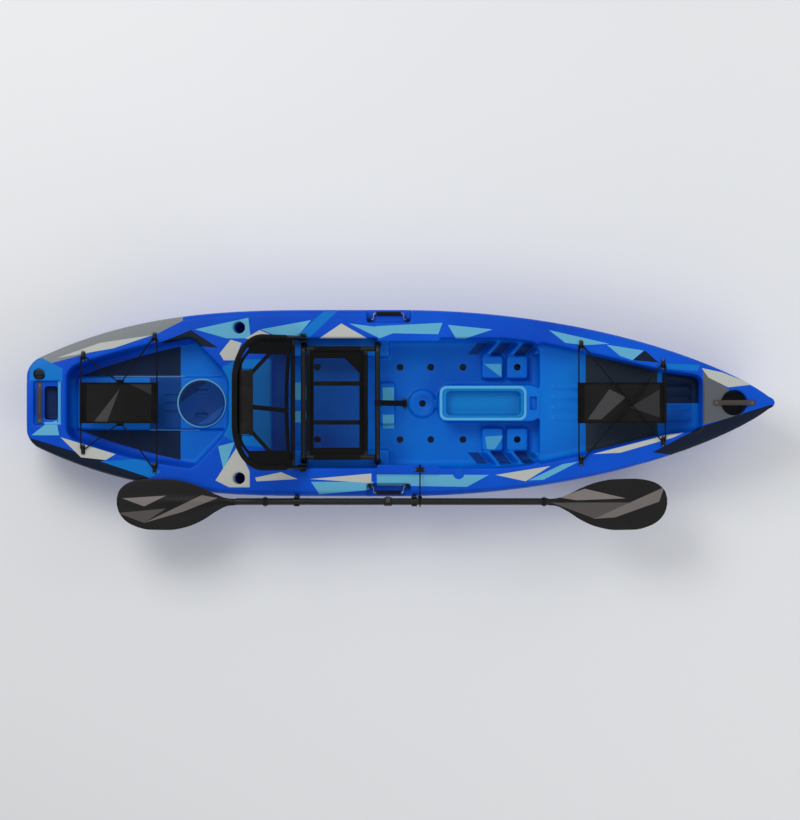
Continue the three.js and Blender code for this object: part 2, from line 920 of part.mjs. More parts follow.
const cavity = innerHull.subtract(join([
  walledRecesses, scuppers(wallThickness), rodHolders(wallThickness), endRecesses(wallThickness),
  sidePockets(wallThickness), traySpace, slotSpace,
]));
const mainCavity = cavity.decompose().sort((a, b) => b.volume() - a.volume())[0];
const hatchHole = rod(
  point(hatchStation, 0, tankFloor - wallThickness - overrun),
  point(hatchStation, 0, platformTop + overrun),
  hatchCollarRadius,
  hatchSides,
);
const drainBore = rod(
  point(drainX, drainSide, drainFloor - drainSpotRadius), point(drainX, drainSide, deckTop), drainHole,
);
const dotSide = -(halfBreadth(dotStation) - dotInset);
const dotSeat = rod(
  point(dotStation, dotSide, deckAt(dotStation, dotSide) - dotDepth),
  point(dotStation, dotSide, bowHeight),
  dotRadius,
  roundSides,
);
const hullSolid = outerHull.add(gearPads).subtract(join([
  mainCavity, solidRecesses, scuppers(0), rodHolders(0), endRecesses(0), sidePockets(0),
  tray, slot, grooves, hatchHole, drainBore, dotSeat,
]));

// Pieces are modelled in their own frames and placed by groups
const finishes = {
  hullPlastic: { color: 0x0a56c0, roughness: 0.42, metalness: 0 },
  cyanPlastic: { color: 0x6fb4cc, roughness: 0.4, metalness: 0 },
  blackPlastic: { color: 0x141414, roughness: 0.5, metalness: 0 },
  blackRubber: { color: 0x1a1a1b, roughness: 0.8, metalness: 0 },
  greyRubber: { color: 0x5b5350, roughness: 0.75, metalness: 0 },
  blackTube: { color: 0x121213, roughness: 0.35, metalness: 0.6 },
  blackMesh: { color: 0x17181a, roughness: 0.9, metalness: 0 },
  blackWebbing: { color: 0x151517, roughness: 0.85, metalness: 0 },
  padFabric: { color: 0x2f2a28, roughness: 0.9, metalness: 0 },
  cargoFabric: { color: 0x232325, roughness: 0.85, metalness: 0 },
  bungee: { color: 0x101012, roughness: 0.8, metalness: 0 },
  shaftCoat: { color: 0x1b1a1a, roughness: 0.35, metalness: 0 },
  bladePlastic: { color: 0x2a2626, roughness: 0.45, metalness: 0 },
  steel: { color: 0x8c8f93, roughness: 0.3, metalness: 0.9 },
};
const kayak = new THREE.Group();

function group(x, y, z, parent = kayak) {
  const made = new THREE.Group();
  made.position.set(x, y, z);
  parent.add(made);
  return made;
}

function piece(name, solid, finish, parent = kayak) {
  const mesh = new THREE.Mesh(geometryOf(solid), new THREE.MeshStandardMaterial(finishes[finish]));
  mesh.name = name;
  parent.add(mesh);
  return mesh;
}

// The deck's slope in a direction, measured over a short step, gives the normal that pieces stand on.
function deckNormal(x, y) {
  const along = deckAt(x + slopeStep, y) - deckAt(x - slopeStep, y);
  const across = deckAt(x, y + slopeStep) - deckAt(x, y - slopeStep);
  return point(-along, -across, slopeStep + slopeStep).normalize();
}

// A group that stands on the deck, turned about the deck's normal by a heading.
function onDeck(x, y, heading = 0) {
  const normal = deckNormal(x, y);
  const seat = point(x, y, deckAt(x, y)).addScaledVector(normal, seatGap);
  const made = group(...seat);
  made.quaternion.setFromUnitVectors(zAxis, normal);
  made.rotateZ(heading);
  return made;
}

// A group on the centreline that bridges the deck between two points at equal distances fore and aft.
function acrossDeck(x, reach) {
  const aft = point(x - reach, 0, deckAt(x - reach, 0) + seatGap + seatGap);
  const fore = point(x + reach, 0, deckAt(x + reach, 0) + seatGap + seatGap);
  const made = group(...aft.clone().lerp(fore, 1 / 2));
  made.rotateY(-Math.atan2(fore.z - aft.z, fore.x - aft.x));
  return made;
}

piece('hull', hullSolid, 'hullPlastic');

// Hatch: a flanged ring in the tank well floor, a seal on its shoulder and a screw-in lid
const hatch = group(hatchStation, 0, platformTop + seatGap);
const hatchRim = rimRound / 3;
piece('hatch_ring', turned([
  [hatchBore, -hatchCollarDepth],
  [hatchCollarRadius - runningGap, -hatchCollarDepth],
  [hatchCollarRadius - runningGap, 0],
  [hatchRadius, 0],
  [hatchRadius, hatchFlange - hatchRim],
  [hatchRadius - hatchRim, hatchFlange],
  [hatchShoulderRadius, hatchFlange],
  [hatchShoulderRadius, hatchShoulder],
  [hatchBore, hatchShoulder],
], hatchSides), 'cyanPlastic', hatch);

const sealBottom = hatchShoulder + seatGap;
const sealTop = sealBottom + sealHeight;
const sealChamfer = sealHeight / 3;
piece('hatch_seal', turned([
  [sealInner, sealBottom + sealChamfer],
  [sealInner + sealChamfer, sealBottom],
  [sealOuter - sealChamfer, sealBottom],
  [sealOuter, sealBottom + sealChamfer],
  [sealOuter, sealTop - sealChamfer],
  [sealOuter - sealChamfer, sealTop],
  [sealInner + sealChamfer, sealTop],
  [sealInner, sealTop - sealChamfer],
], hatchSides), 'blackRubber', hatch);

const lidBottom = sealTop + seatGap;
const lidTop = lidBottom + hatchLidThickness;
const lidRadius = hatchShoulderRadius - runningGap;
const skirtRadius = hatchBore - runningGap;
const skirtInner = skirtRadius - hatchFlange;
const scoopFloor = lidTop - gripScoopDepth;
const lidDisc = turned([
  [0, scoopFloor - hatchLidThickness],
  [skirtInner, scoopFloor - hatchLidThickness],
  [skirtInner, lidBottom - hatchSkirtDepth],
  [skirtRadius, lidBottom - hatchSkirtDepth],
  [skirtRadius, lidBottom],
  [lidRadius, lidBottom],
  [lidRadius, lidTop - hatchRim],
  [lidRadius - hatchRim, lidTop],
  [0, lidTop],
], hatchSides);
const scoops = join([1, -1].map((side) => moulding({
  aft: -gripScoopLength / 2,
  fore: gripScoopLength / 2,
  corner: gripScoopWidth / 3,
  ...between(...[side * gripScoopOffset - gripScoopWidth / 2, side * gripScoopOffset + gripScoopWidth / 2]),
}, [[0, lidTop + overrun], [sharpCorner, scoopFloor]])));
piece('hatch_lid', lidDisc.subtract(scoops), 'hullPlastic', hatch);

// Drain plug: a winged plug and its washer in a spot-faced seat on the stern deck
const drain = group(drainX, drainSide, drainFloor + seatGap);
piece('drain_washer', turned([
  [drainHole + runningGap, 0],
  [washerRadius, 0],
  [washerRadius, washerHeight],
  [drainHole + runningGap, washerHeight],
], roundSides), 'blackRubber', drain);
const plugBottom = washerHeight + seatGap;
const plugBody = turned([
  [0, plugBottom - washerHeight - drainStemLength],
  [drainStem - drainStem / 6, plugBottom - washerHeight - drainStemLength],
  [drainStem, plugBottom - washerHeight - drainStemLength + drainStem / 6],
  [drainStem, plugBottom],
  [drainHead, plugBottom],
  [drainHead, plugBottom + drainHeadHeight - rimRound / 3],
  [drainHead - rimRound / 3, plugBottom + drainHeadHeight],
  [0, plugBottom + drainHeadHeight],
], roundSides);
const plugTop = plugBottom + drainHeadHeight;
const plugWing = moulding({
  aft: -drainHead + rimRound / 3,
  fore: drainHead - rimRound / 3,
  corner: drainWing / 3,
  ...mirrored(() => drainWing / 2),
}, [
  [0, plugBottom + rimRound],
  [0, plugTop + drainWingHeight - sharpCorner],
  [sharpCorner, plugTop + drainWingHeight],
]);
piece('drain_plug', plugBody.add(plugWing), 'blackPlastic', drain);

// Grab handles of the ends: a strap with two feet that rises over a finger recess, and a round grip on it
function endHandle(name, parent) {
  const end = endHandleLength / 2;
  const foot = end - endHandleFoot;
  const rise = foot - endHandleRamp;
  const top = endHandleRise + endHandleThickness;
  const profile = new THREE.Shape([
    [-end, 0], [-foot, 0], [-rise, endHandleRise], [rise, endHandleRise], [foot, 0], [end, 0],
    [end, endHandleFootThickness], [foot, endHandleFootThickness + sharpCorner], [rise, top],
    [-rise, top], [-foot, endHandleFootThickness + sharpCorner], [-end, endHandleFootThickness],
  ].map(([x, z]) => new THREE.Vector2(x, z)));
  const strap = new THREE.ExtrudeGeometry(profile, { depth: endHandleWidth, bevelEnabled: false });
  strap.rotateX(Math.PI / 2).translate(0, endHandleWidth / 2, 0);
  const middle = endHandleRise + endHandleThickness / 2;
  const grip = rod(point(-rise, 0, middle), point(rise, 0, middle), endGripRadius);
  piece(name, solidOf(strap).add(grip), 'greyRubber', parent);
}

const landingMiddle = sternEnd + drainStation;
const sternHandleSeat = group(landingMiddle, 0, landingFloor + seatGap);
sternHandleSeat.rotateZ(Math.PI / 2);
endHandle('stern_handle', sternHandleSeat);
endHandle('bow_handle', acrossDeck(bowHandleStation, endHandleLength / 2));

// Carry handles: a wire bail whose ends turn in two brackets, with a grip round its middle
function carryHandle(name, side) {
  const inner = sidePocketInner + rimRound + sharpCorner;
  const pivotSide = inner + bracketWidth / 2;
  const pivotZ = pocketFloor + pivotRise;
  const seat = group(sidePocketMiddle, side * pivotSide, pivotZ);
  const out = side * bailReach;
  const pinEnd = bailHalf + bailPin;
  const bail = tube([
    point(-pinEnd, 0, 0), point(-bailHalf, 0, 0), point(-bailHalf, out, 0),
    point(bailHalf, out, 0), point(bailHalf, 0, 0), point(pinEnd, 0, 0),
  ], bailRadius, bailBend, cordSides, 2);
  piece(`${name}_handle_bail`, bail, 'steel', seat);
  const gripEnds = [point(-gripLength / 2, out, 0), point(gripLength / 2, out, 0)];
  const grip = rod(...gripEnds, gripRadius, roundSides - cordSides / 2);
  const bore = rod(point(-gripLength, out, 0), point(gripLength, out, 0), bailRadius + runningGap, cordSides);
  piece(`${name}_handle_grip`, grip.subtract(bore), 'blackRubber', seat);
  for (const [end, toward] of [['fore', 1], ['aft', -1]]) {
    const near = toward * (bailHalf + bailBend + runningGap);
    const far = near + toward * bracketLength;
    const [low, high] = [near, far].sort((a, b) => a - b);
    const foot = -pivotRise + seatGap;
    const body = block(
      point(low, -bracketWidth / 2, foot), point(high, bracketWidth / 2, foot + bracketHeight),
    );
    const holeRadius = (bailRadius + runningGap) / Math.cos(Math.PI / cordSides);
    const hole = rod(point(-pinEnd, 0, 0), point(pinEnd, 0, 0), holeRadius, cordSides);
    piece(`${name}_handle_bracket_${end}`, body.subtract(hole), 'blackPlastic', seat);
  }
}
carryHandle('port', 1);
carryHandle('starboard', -1);

// Pad-eyes: a base plate with an arch over it, whose hole faces along the heading
function padEye(name, seat) {
  const plan = {
    aft: -eyeLength / 2,
    fore: eyeLength / 2,
    corner: eyeWidth / 3,
    ...mirrored(() => eyeWidth / 2),
  };
  const base = moulding(plan, [[0, 0], [sharpCorner, eyeBase]]);
  const arch = tube([
    point(-eyeArchHalf, 0, sharpCorner), point(-eyeArchHalf, 0, eyeArchHeight),
    point(eyeArchHalf, 0, eyeArchHeight), point(eyeArchHalf, 0, sharpCorner),
  ], eyeArchRadius, eyeArchBend, eyeSides, 2);
  piece(name, base.add(arch), 'blackPlastic', seat);
}

const quarterTurn = Math.PI / 2;
const sternEyeStations = { aft: sternEnd + sternEyeAft, fore: sternEnd + sternEyeFore };
const bowEyeStations = { aft: bowEnd - bowEyeAft, fore: bowEnd - bowEyeFore };
const sternEyeSide = (x) => halfBreadth(x) - sternEyeInset;
const bowEyeSide = (x) => bowWell.port(x) + bowEyeInset;

function eyeSet(prefix, stations, sideAt) {
  for (const [end, x] of Object.entries(stations)) {
    for (const [hand, side] of [['port', 1], ['starboard', -1]]) {
      padEye(`${prefix}_pad_eye_${end}_${hand}`, onDeck(x, side * sideAt(x), quarterTurn));
    }
  }
}
eyeSet('stern', sternEyeStations, sternEyeSide);
eyeSet('bow', bowEyeStations, bowEyeSide);

// Where a cord passes through an eye, and the inboard leg of the arch that it turns round
function eyePlace(x, side, sideAt) {
  const y = side * sideAt(x);
  const normal = deckNormal(x, y);
  const base = point(x, y, deckAt(x, y)).addScaledVector(normal, seatGap + eyeCordHeight);
  return base.add(point(0, -side * eyeArchHalf, 0));
}

// Corners of a taut cord round its posts, closed back on itself. Each pass brings the runs nearer to
// touching the circles that they turn round. Stops without a turn stay where they are.
function cordCorners(stops) {
  const corners = stops.map(({ at }) => at);
  const count = stops.length;
  for (let pass = 0; pass < cordPasses; pass++) {
    stops.forEach(({ at, turn }, i) => {
      if (!turn) {
        return;
      }
      const back = corners[(i + count - 1) % count].clone().sub(corners[i]).normalize();
      const on = corners[(i + 1) % count].clone().sub(corners[i]).normalize();
      const halfTurn = (Math.PI - back.angleTo(on)) / 2;
      corners[i] = at.clone().addScaledVector(back.add(on).normalize(), -turn / Math.cos(halfTurn));
    });
  }
  return corners;
}

// A closed cord whose two ends meet, with a small split, in the middle of the run back to its start
function closedCord(corners, bend) {
  const first = corners[0];
  const last = corners[corners.length - 1];
  const middle = first.clone().lerp(last, 1 / 2);
  const half = first.clone().sub(last).setLength(cordSplit);
  const route = [middle.clone().add(half), ...corners, middle.clone().sub(half)];
  return tube(route, cordRadius, bend, eyeSides, cordBendSteps);
}

// Height of the cords between the fore and aft eyes of a set
function spanHeight(stations, sideAt) {
  const low = eyePlace(stations.aft, 1, sideAt).z;
  const high = eyePlace(stations.fore, 1, sideAt).z;
  return (x) => lerp(low, high, (x - stations.aft) / (stations.fore - stations.aft));
}

const sternCordHeight = spanHeight(sternEyeStations, sternEyeSide);
const sternApexX = sternEnd + sternApex;
const sternApexPost = (side) => point(sternApexX, side * sternApexHalf, sternCordHeight(sternApexX));
const sternEyeAt = (end, side) => eyePlace(sternEyeStations[end], side, sternEyeSide);
const turning = (at) => ({ at, turn: eyeTurnRadius });
const sternCorners = cordCorners([
  turning(sternEyeAt('aft', 1)), turning(sternApexPost(1)), turning(sternEyeAt('fore', 1)),
  turning(sternEyeAt('fore', -1)), turning(sternApexPost(-1)), turning(sternEyeAt('aft', -1)),
]);
piece('stern_bungee', closedCord(sternCorners, eyeTurnRadius), 'bungee');

const bowCordHeight = spanHeight(bowEyeStations, bowEyeSide);
const bowEyeAt = (end, side) => eyePlace(bowEyeStations[end], side, bowEyeSide);
const crossAlong = bowEyeAt('aft', 1).y / (bowEyeAt('aft', 1).y + bowEyeAt('fore', 1).y);
const bowCrossX = lerp(bowEyeStations.aft, bowEyeStations.fore, crossAlong);
const bowCrossing = { at: point(bowCrossX, 0, bowCordHeight(bowCrossX) + cordCrossing) };
const bowCorners = cordCorners([
  turning(bowEyeAt('aft', 1)), turning(bowEyeAt('fore', -1)), turning(bowEyeAt('fore', 1)),
  bowCrossing, turning(bowEyeAt('aft', -1)),
]);
piece('bow_bungee', closedCord(bowCorners, eyeTurnRadius), 'bungee');

// Cargo panels: stiff fabric hung between the cross cords by a hem at each end
function cargoPanel(name, runs, posts) {
  const drop = cordRadius + seatGap + panelDrop;
  const slope = (runs[1].z - runs[0].z) / (runs[1].x - runs[0].x);
  const top = (x) => runs[0].z + slope * (x - runs[0].x) - drop;
  const plan = {
    aft: runs[0].x - panelHem / 2,
    fore: runs[1].x + panelHem / 2,
    corner: sharpCorner,
    ...mirrored(() => panelHalf),
  };
  const sheet = moulding(plan, [[0, (x) => top(x) - panelThickness], [0, top]]);
  const hems = runs.map(({ x, z }) => block(
    point(x - panelHem / 2, -panelHalf, top(x) - panelThickness),
    point(x + panelHem / 2, panelHalf, z + cordRadius + panelThickness),
  ));
  const bores = runs.map(({ x, z }) => rod(
    point(x, -panelHalf - overrun, z), point(x, panelHalf + overrun, z),
    (cordRadius + seatGap + runningGap) / Math.cos(Math.PI / cordSides), cordSides,
  ));
  const tabs = posts.flatMap((post) => {
    const [low, high] = [0, post.y + Math.sign(post.y) * panelPostRadius].sort((a, b) => a - b);
    const floor = top(post.x) - panelThickness;
    return [
      block(
        point(post.x - panelTabLength / 2, low, floor),
        point(post.x + panelTabLength / 2, high, top(post.x) - panelDrop),
      ),
      rod(post.clone().setZ(floor), post.clone().setZ(floor + panelPostHeight), panelPostRadius, cordSides),
    ];
  });
  piece(name, join([sheet, ...hems, ...tabs]).subtract(join(bores)), 'cargoFabric');
}
const [sternAftRun, , sternForeRun] = sternCorners;
const [bowAftRun, bowForeRun] = bowCorners;
cargoPanel('stern_cargo_panel', [sternAftRun, sternForeRun], [sternApexPost(1), sternApexPost(-1)]);
cargoPanel('bow_cargo_panel', [bowAftRun, bowForeRun], []);

// Seat frames, straight up from the ledges
const legHalf = cockpitHalf - legInset;
const seatHeight = ledgeHeight + seatLegHeight;
const railHalf = cockpitHalf - railInset;
const legFoot = ledgeHeight + seatGap + footSole + seatGap;
const seat = group(seatRear, 0, 0);
function legFrame(name, x) {
  const frame = tube([
    point(x, -legHalf, legFoot), point(x, -legHalf, seatHeight),
    point(x, legHalf, seatHeight), point(x, legHalf, legFoot),
  ], tubeRadius, legBend, tubeSides);
  piece(name, frame, 'blackTube', seat);
}
legFrame('rear_leg_frame', 0);
legFrame('front_leg_frame', seatDepth);

const footProfile = [
  [0, 0], [footRadius, 0], [footRadius - sharpCorner, footCup], [tubeRadius + footClear, footCup],
  [tubeRadius + footClear, footSole], [0, footSole],
];
for (const [end, x] of [['rear', 0], ['front', seatDepth]]) {
  for (const [hand, side] of [['port', 1], ['starboard', -1]]) {
    const foot = turned(footProfile);
    piece(`foot_${end}_${hand}`, foot, 'blackRubber', group(x, side * legHalf, ledgeHeight + seatGap, seat));
  }
}

const railAft = tubeRadius + seatGap;
const railFore = seatDepth - tubeRadius - seatGap;
const rearBar = railAft + rearBarGap;
const frontBar = seatDepth - frontBarGap;
const rails = [1, -1].map((side) => rod(
  point(railAft, side * railHalf, seatHeight),
  point(railFore, side * railHalf, seatHeight),
  tubeRadius,
  tubeSides,
));
const bars = [rearBar, frontBar].map((x) => rod(
  point(x, -railHalf, seatHeight), point(x, railHalf, seatHeight), barRadius, tubeSides,
));
piece('seat_base_frame', join([...rails, ...bars]), 'blackTube', seat);

// A strip that sags in an arc between its two edges, drawn in the plane across it
function sagStrip(half, sag, thickness, drawn) {
  const upper = Array.from({ length: slingSteps + 1 }, (_, k) => {
    const y = lerp(-half, half, k / slingSteps);
    return [y, -sag * (1 - (y / half) ** 2) + thickness / 2];
  });
  const lower = upper.map(([y, z]) => [y, z - thickness]).reverse();
  return new THREE.Shape([...upper, ...lower].map(([y, z]) => new THREE.Vector2(...drawn(y, z))));
}

const sagAt = (y, half, sag) => -sag * (1 - (y / half) ** 2);
const slingHalf = railHalf - tubeRadius - seatGap;
const slingAft = rearBar + barRadius + seatGap;
const slingFore = frontBar - barRadius - seatGap;
const slingGeometry = new THREE.ExtrudeGeometry(
  sagStrip(slingHalf, seatSag, slingThickness, (y, z) => [-z, y]),
  { depth: slingFore - slingAft, bevelEnabled: false },
);
slingGeometry.rotateY(Math.PI / 2).translate(slingAft, 0, seatHeight);
piece('seat_mesh', solidOf(slingGeometry), 'blackMesh', seat);
for (const [hand, side] of [['port', 1], ['starboard', -1]]) {
  const outer = seatStrapSide + strapWidth / 2;
  const floor = seatHeight + sagAt(outer, slingHalf, seatSag) + slingThickness / 2 + seatGap;
  const strap = block(
    point(slingAft, side * seatStrapSide - strapWidth / 2, floor),
    point(slingFore, side * seatStrapSide + strapWidth / 2, floor + strapThickness),
  );
  piece(`seat_strap_${hand}`, strap, 'blackWebbing', seat);
}

// Hinge plates outside the rear legs, and the bolts that the backrest turns on
const pivotZ = seatHeight + pivotHeight;
const plateInner = legHalf + tubeRadius + seatGap;
const plateOuter = plateInner + plateThickness;
const backHalf = plateOuter + runningGap + tubeRadius;
const boltHole = (boltRadius + runningGap) / Math.cos(Math.PI / cordSides);
for (const [hand, side] of [['port', 1], ['starboard', -1]]) {
  const outline = new THREE.Shape();
  outline.moveTo(-plateHalf / 2, -plateFoot);
  outline.lineTo(plateHalf / 2, -plateFoot);
  outline.lineTo(plateHalf, pivotHeight);
  outline.absarc(0, pivotHeight, plateHalf, 0, Math.PI, false);
  outline.closePath();
  const geometry = new THREE.ExtrudeGeometry(
    outline, { depth: plateThickness, bevelEnabled: false, curveSegments: cordSides },
  );
  geometry.rotateX(Math.PI / 2).translate(0, plateOuter, seatHeight);
  const hole = rod(point(0, legHalf, pivotZ), point(0, backHalf, pivotZ), boltHole, cordSides);
  const plate = solidOf(geometry).subtract(hole);
  piece(`hinge_plate_${hand}`, side > 0 ? plate : plate.mirror([0, 1, 0]), 'blackPlastic', seat);

  const headOuter = plateInner - seatGap;
  const knobInner = backHalf + tubeRadius + runningGap;
  const bolt = join([
    rod(point(0, headOuter - boltHeadHeight, pivotZ), point(0, headOuter, pivotZ), boltHeadRadius, cordSides),
    rod(
      point(0, headOuter - sharpCorner, pivotZ), point(0, knobInner + sharpCorner, pivotZ),
      boltRadius, cordSides,
    ),
    rod(point(0, knobInner, pivotZ), point(0, knobInner + knobHeight, pivotZ), knobRadius, tubeSides),
  ]);
  piece(`pivot_bolt_${hand}`, side > 0 ? bolt : bolt.mirror([0, 1, 0]), 'blackPlastic', seat);
}

// Backrest in its own frame: the bolts' line is its origin, Z runs up the back and X faces forward
const backrest = group(0, 0, pivotZ, seat);
backrest.rotateY(-recline);
const arch = tube([
  point(0, -backHalf, -backTail), point(0, -backHalf, backLength),
  point(0, backHalf, backLength), point(0, backHalf, -backTail),
], tubeRadius, backBend, tubeSides, archSteps);
const backBarEnds = [-backHalf, backHalf].map((y) => point(0, y, backBarHeight));
const backBar = rod(...backBarEnds, barRadius, tubeSides);
const boltWay = rod(point(0, -halfBeam, 0), point(0, halfBeam, 0), boltHole, cordSides);
piece('backrest_frame', arch.add(backBar).subtract(boltWay), 'blackTube', backrest);

const backSlingHalf = backHalf - tubeRadius - seatGap;
const backSlingFoot = backBarHeight + barRadius + seatGap;
const backSlingTop = backLength - tubeRadius - seatGap;
const innerBend = backBend - tubeRadius - seatGap;
const backStrip = new THREE.ExtrudeGeometry(
  sagStrip(backSlingHalf, backSag, slingThickness, (y, x) => [x, y]),
  { depth: backSlingTop - backSlingFoot, bevelEnabled: false },
);
backStrip.translate(0, 0, backSlingFoot);
const windowReach = backSag + tubeRadius;
const silhouette = new THREE.Shape();
silhouette.moveTo(-backSlingHalf, backSlingFoot);
silhouette.lineTo(backSlingHalf, backSlingFoot);
silhouette.absarc(backSlingHalf - innerBend, backSlingTop - innerBend, innerBend, 0, Math.PI / 2, false);
silhouette.absarc(
  -backSlingHalf + innerBend, backSlingTop - innerBend, innerBend, Math.PI / 2, Math.PI, false,
);
silhouette.closePath();
const archWindow = new THREE.ExtrudeGeometry(
  silhouette, { depth: windowReach + windowReach, bevelEnabled: false, curveSegments: archSteps / 2 },
);
archWindow.rotateX(Math.PI / 2).rotateZ(Math.PI / 2).translate(-windowReach, 0, 0);
piece('backrest_mesh', solidOf(backStrip).intersect(solidOf(archWindow)), 'blackMesh', backrest);

const slingFaceAt = (y) => sagAt(y, backSlingHalf, backSag) + slingThickness / 2;

// A crowned pad with a flat back: its face swells between thin edges and its sides draw in between corners
function crownedPad(half, low, high, back) {
  const swell = (a) => Math.sqrt(1 - a ** 4);
  const rings = Array.from({ length: padRows + 1 }, (_, r) => {
    const up = lerp(-1, 1, r / padRows);
    const width = half - padPinch * (1 - up ** 2);
    const front = Array.from({ length: padColumns + 1 }, (_, k) => {
      const side = lerp(-1, 1, k / padColumns);
      return [width * side, back + padEdge + padCrown * swell(side) * swell(up)];
    });
    const rear = front.map(([y]) => [y, back]).reverse();
    const pinch = (side) => (padPinch / 2) * (1 - side ** 2) * up;
    return [...front, ...rear].map(([y, x]) => {
      return point(x, y, lerp(low, high, r / padRows) - pinch(y / half));
    });
  });
  return loft(rings, ladderFaces(rings[0].length));
}
const padTop = backSlingTop - padTopGap;
const padBack = slingFaceAt(padHalf) + seatGap;
piece('head_pad', crownedPad(padHalf, padTop - padHeight, padTop, padBack), 'padFabric', backrest);

// Tie-down strap from the front leg frame to its anchor on the cockpit floor
const anchorX = seatDepth + tieRun;
const anchorSeat = group(anchorX, 0, cockpitFloor + seatGap, seat);
anchorSeat.rotateZ(quarterTurn);
padEye('tie_down_anchor', anchorSeat);
const tieTop = point(seatDepth, 0, seatHeight);
const tieFoot = point(anchorX, 0, cockpitFloor + seatGap + eyeArchHeight);
const tieHalf = point(0, strapWidth / 2, 0);
const loopRound = (centre, inner, width) => {
  const half = point(0, width / 2, 0);
  const ends = [centre.clone().sub(half), centre.clone().add(half)];
  return rod(...ends, inner + strapThickness, tubeSides);
};
const boreRound = (centre, inner) => {
  const ends = [-strapWidth, strapWidth].map((y) => centre.clone().setY(y));
  return rod(...ends, inner, tubeSides);
};
const tieSlope = tieFoot.clone().sub(tieTop).normalize();
const tieSide = point(-tieSlope.z, 0, tieSlope.x).multiplyScalar(strapThickness / 2);
const tieShape = new THREE.Shape([
  tieTop.clone().add(tieSide), tieFoot.clone().add(tieSide),
  tieFoot.clone().sub(tieSide), tieTop.clone().sub(tieSide),
].map((p) => new THREE.Vector2(p.x, p.z)));
const tieWebbing = new THREE.ExtrudeGeometry(tieShape, { depth: strapWidth, bevelEnabled: false });
tieWebbing.rotateX(Math.PI / 2).translate(0, strapWidth / 2, 0);
const topInner = tubeRadius + runningGap;
const footInner = eyeArchRadius + sharpCorner + runningGap;
const tieStrap = join([
  solidOf(tieWebbing), loopRound(tieTop, topInner, strapWidth), loopRound(tieFoot, footInner, eyeArchHalf),
]).subtract(join([boreRound(tieTop, topInner), boreRound(tieFoot, footInner)]));
piece('tie_down_strap', tieStrap, 'blackWebbing', seat);

// Paddle, along X beside the starboard gunwale. Its own frame has its origin at the ferrule.
const paddleSide = -(halfBeam + shaftOffset);
const paddleHeight = gunwaleHeight + shaftRise;
const paddle = group(paddleStation, paddleSide, paddleHeight);
const neckStation = paddleLength / 2 - bladeLength;
const lengthwise = (solid, toward) => {
  return toward > 0 ? solid.rotate([0, 90, 0]) : solid.rotate([0, -90, 0]);
};
const shaftGap = seatGap / 2;
const socketBore = shaftBore / Math.cos(Math.PI / roundSides);
piece('paddle_shaft_aft', lengthwise(turned([
  [socketBore, shaftGap], [shaftRadius, shaftGap], [shaftRadius, neckStation], [socketBore, neckStation],
], roundSides), -1), 'shaftCoat', paddle);
piece('paddle_shaft_fore', lengthwise(turned([
  [ferruleBore, -ferruleLength], [ferruleRadius, -ferruleLength], [ferruleRadius, shaftGap],
  [shaftRadius, shaftGap], [shaftRadius, neckStation], [shaftBore, neckStation],
  [shaftBore, ferruleLength / 4], [ferruleBore, ferruleLength / 6],
], roundSides), 1), 'shaftCoat', paddle);

// A blade from its neck to its tip: the outline runs out from the shaft and rounds over at the tip, wider
// on the outboard side, and the section thins from a spine to the edges.
function blade(toward) {
  const outlineShares = [
    [0, 0.13, 0.12], [0.06, 0.15, 0.14], [0.16, 0.34, 0.3], [0.28, 0.66, 0.6], [0.42, 0.9, 0.86],
    [0.56, 1, 0.98], [0.72, 0.99, 1], [0.86, 0.84, 0.9], [0.94, 0.62, 0.7], [0.985, 0.34, 0.42],
    [1, 0.1, 0.14],
  ];
  const acrossShares = [-1, -0.55, -0.14, 0, 0.14, 0.55, 1];
  const rings = outlineShares.map(([along, outer, inner]) => {
    const x = neckStation + seatGap + along * (bladeLength - seatGap);
    const lift = -bladeCurl * along ** 2;
    const neck = Math.max(1 - along * bladeLength / bladeNeck, 0);
    const thick = (share) => {
      const spine = bladeSpine * (1 - along) * Math.max(1 - Math.abs(share) * 4, 0);
      const round = neck * (shaftRadius - bladeEdge / 2) * Math.sqrt(1 - share ** 2);
      return bladeEdge / 2 + Math.max(spine, round);
    };
    const wide = (share) => share * (share > 0 ? bladeInner * inner : bladeOuter * outer);
    const top = acrossShares.map((share) => point(toward * x, wide(share), lift + thick(share)));
    const bottom = acrossShares.map((share) => point(toward * x, wide(share), lift - thick(share)));
    return [...top, ...bottom.reverse()];
  });
  return loft(rings, ladderFaces(rings[0].length));
}

function dripRing(x) {
  const inner = shaftRadius + runningGap;
  const profile = [
    [inner, -dripRingLength / 2], [inner + sharpCorner + sharpCorner, -dripRingLength / 2],
    [dripRingRadius, -sharpCorner], [dripRingRadius, sharpCorner],
    [inner + sharpCorner + sharpCorner, dripRingLength / 2], [inner, dripRingLength / 2],
  ];
  return lengthwise(turned(profile, roundSides), 1).translate(x, 0, 0);
}
piece('paddle_blade_aft', blade(-1), 'bladePlastic', paddle);
piece('paddle_blade_fore', blade(1), 'bladePlastic', paddle);
piece('drip_ring_aft', dripRing(dripRingAftGap - neckStation), 'blackRubber', paddle);
piece('drip_ring_fore', dripRing(neckStation - dripRingForeGap), 'blackRubber', paddle);

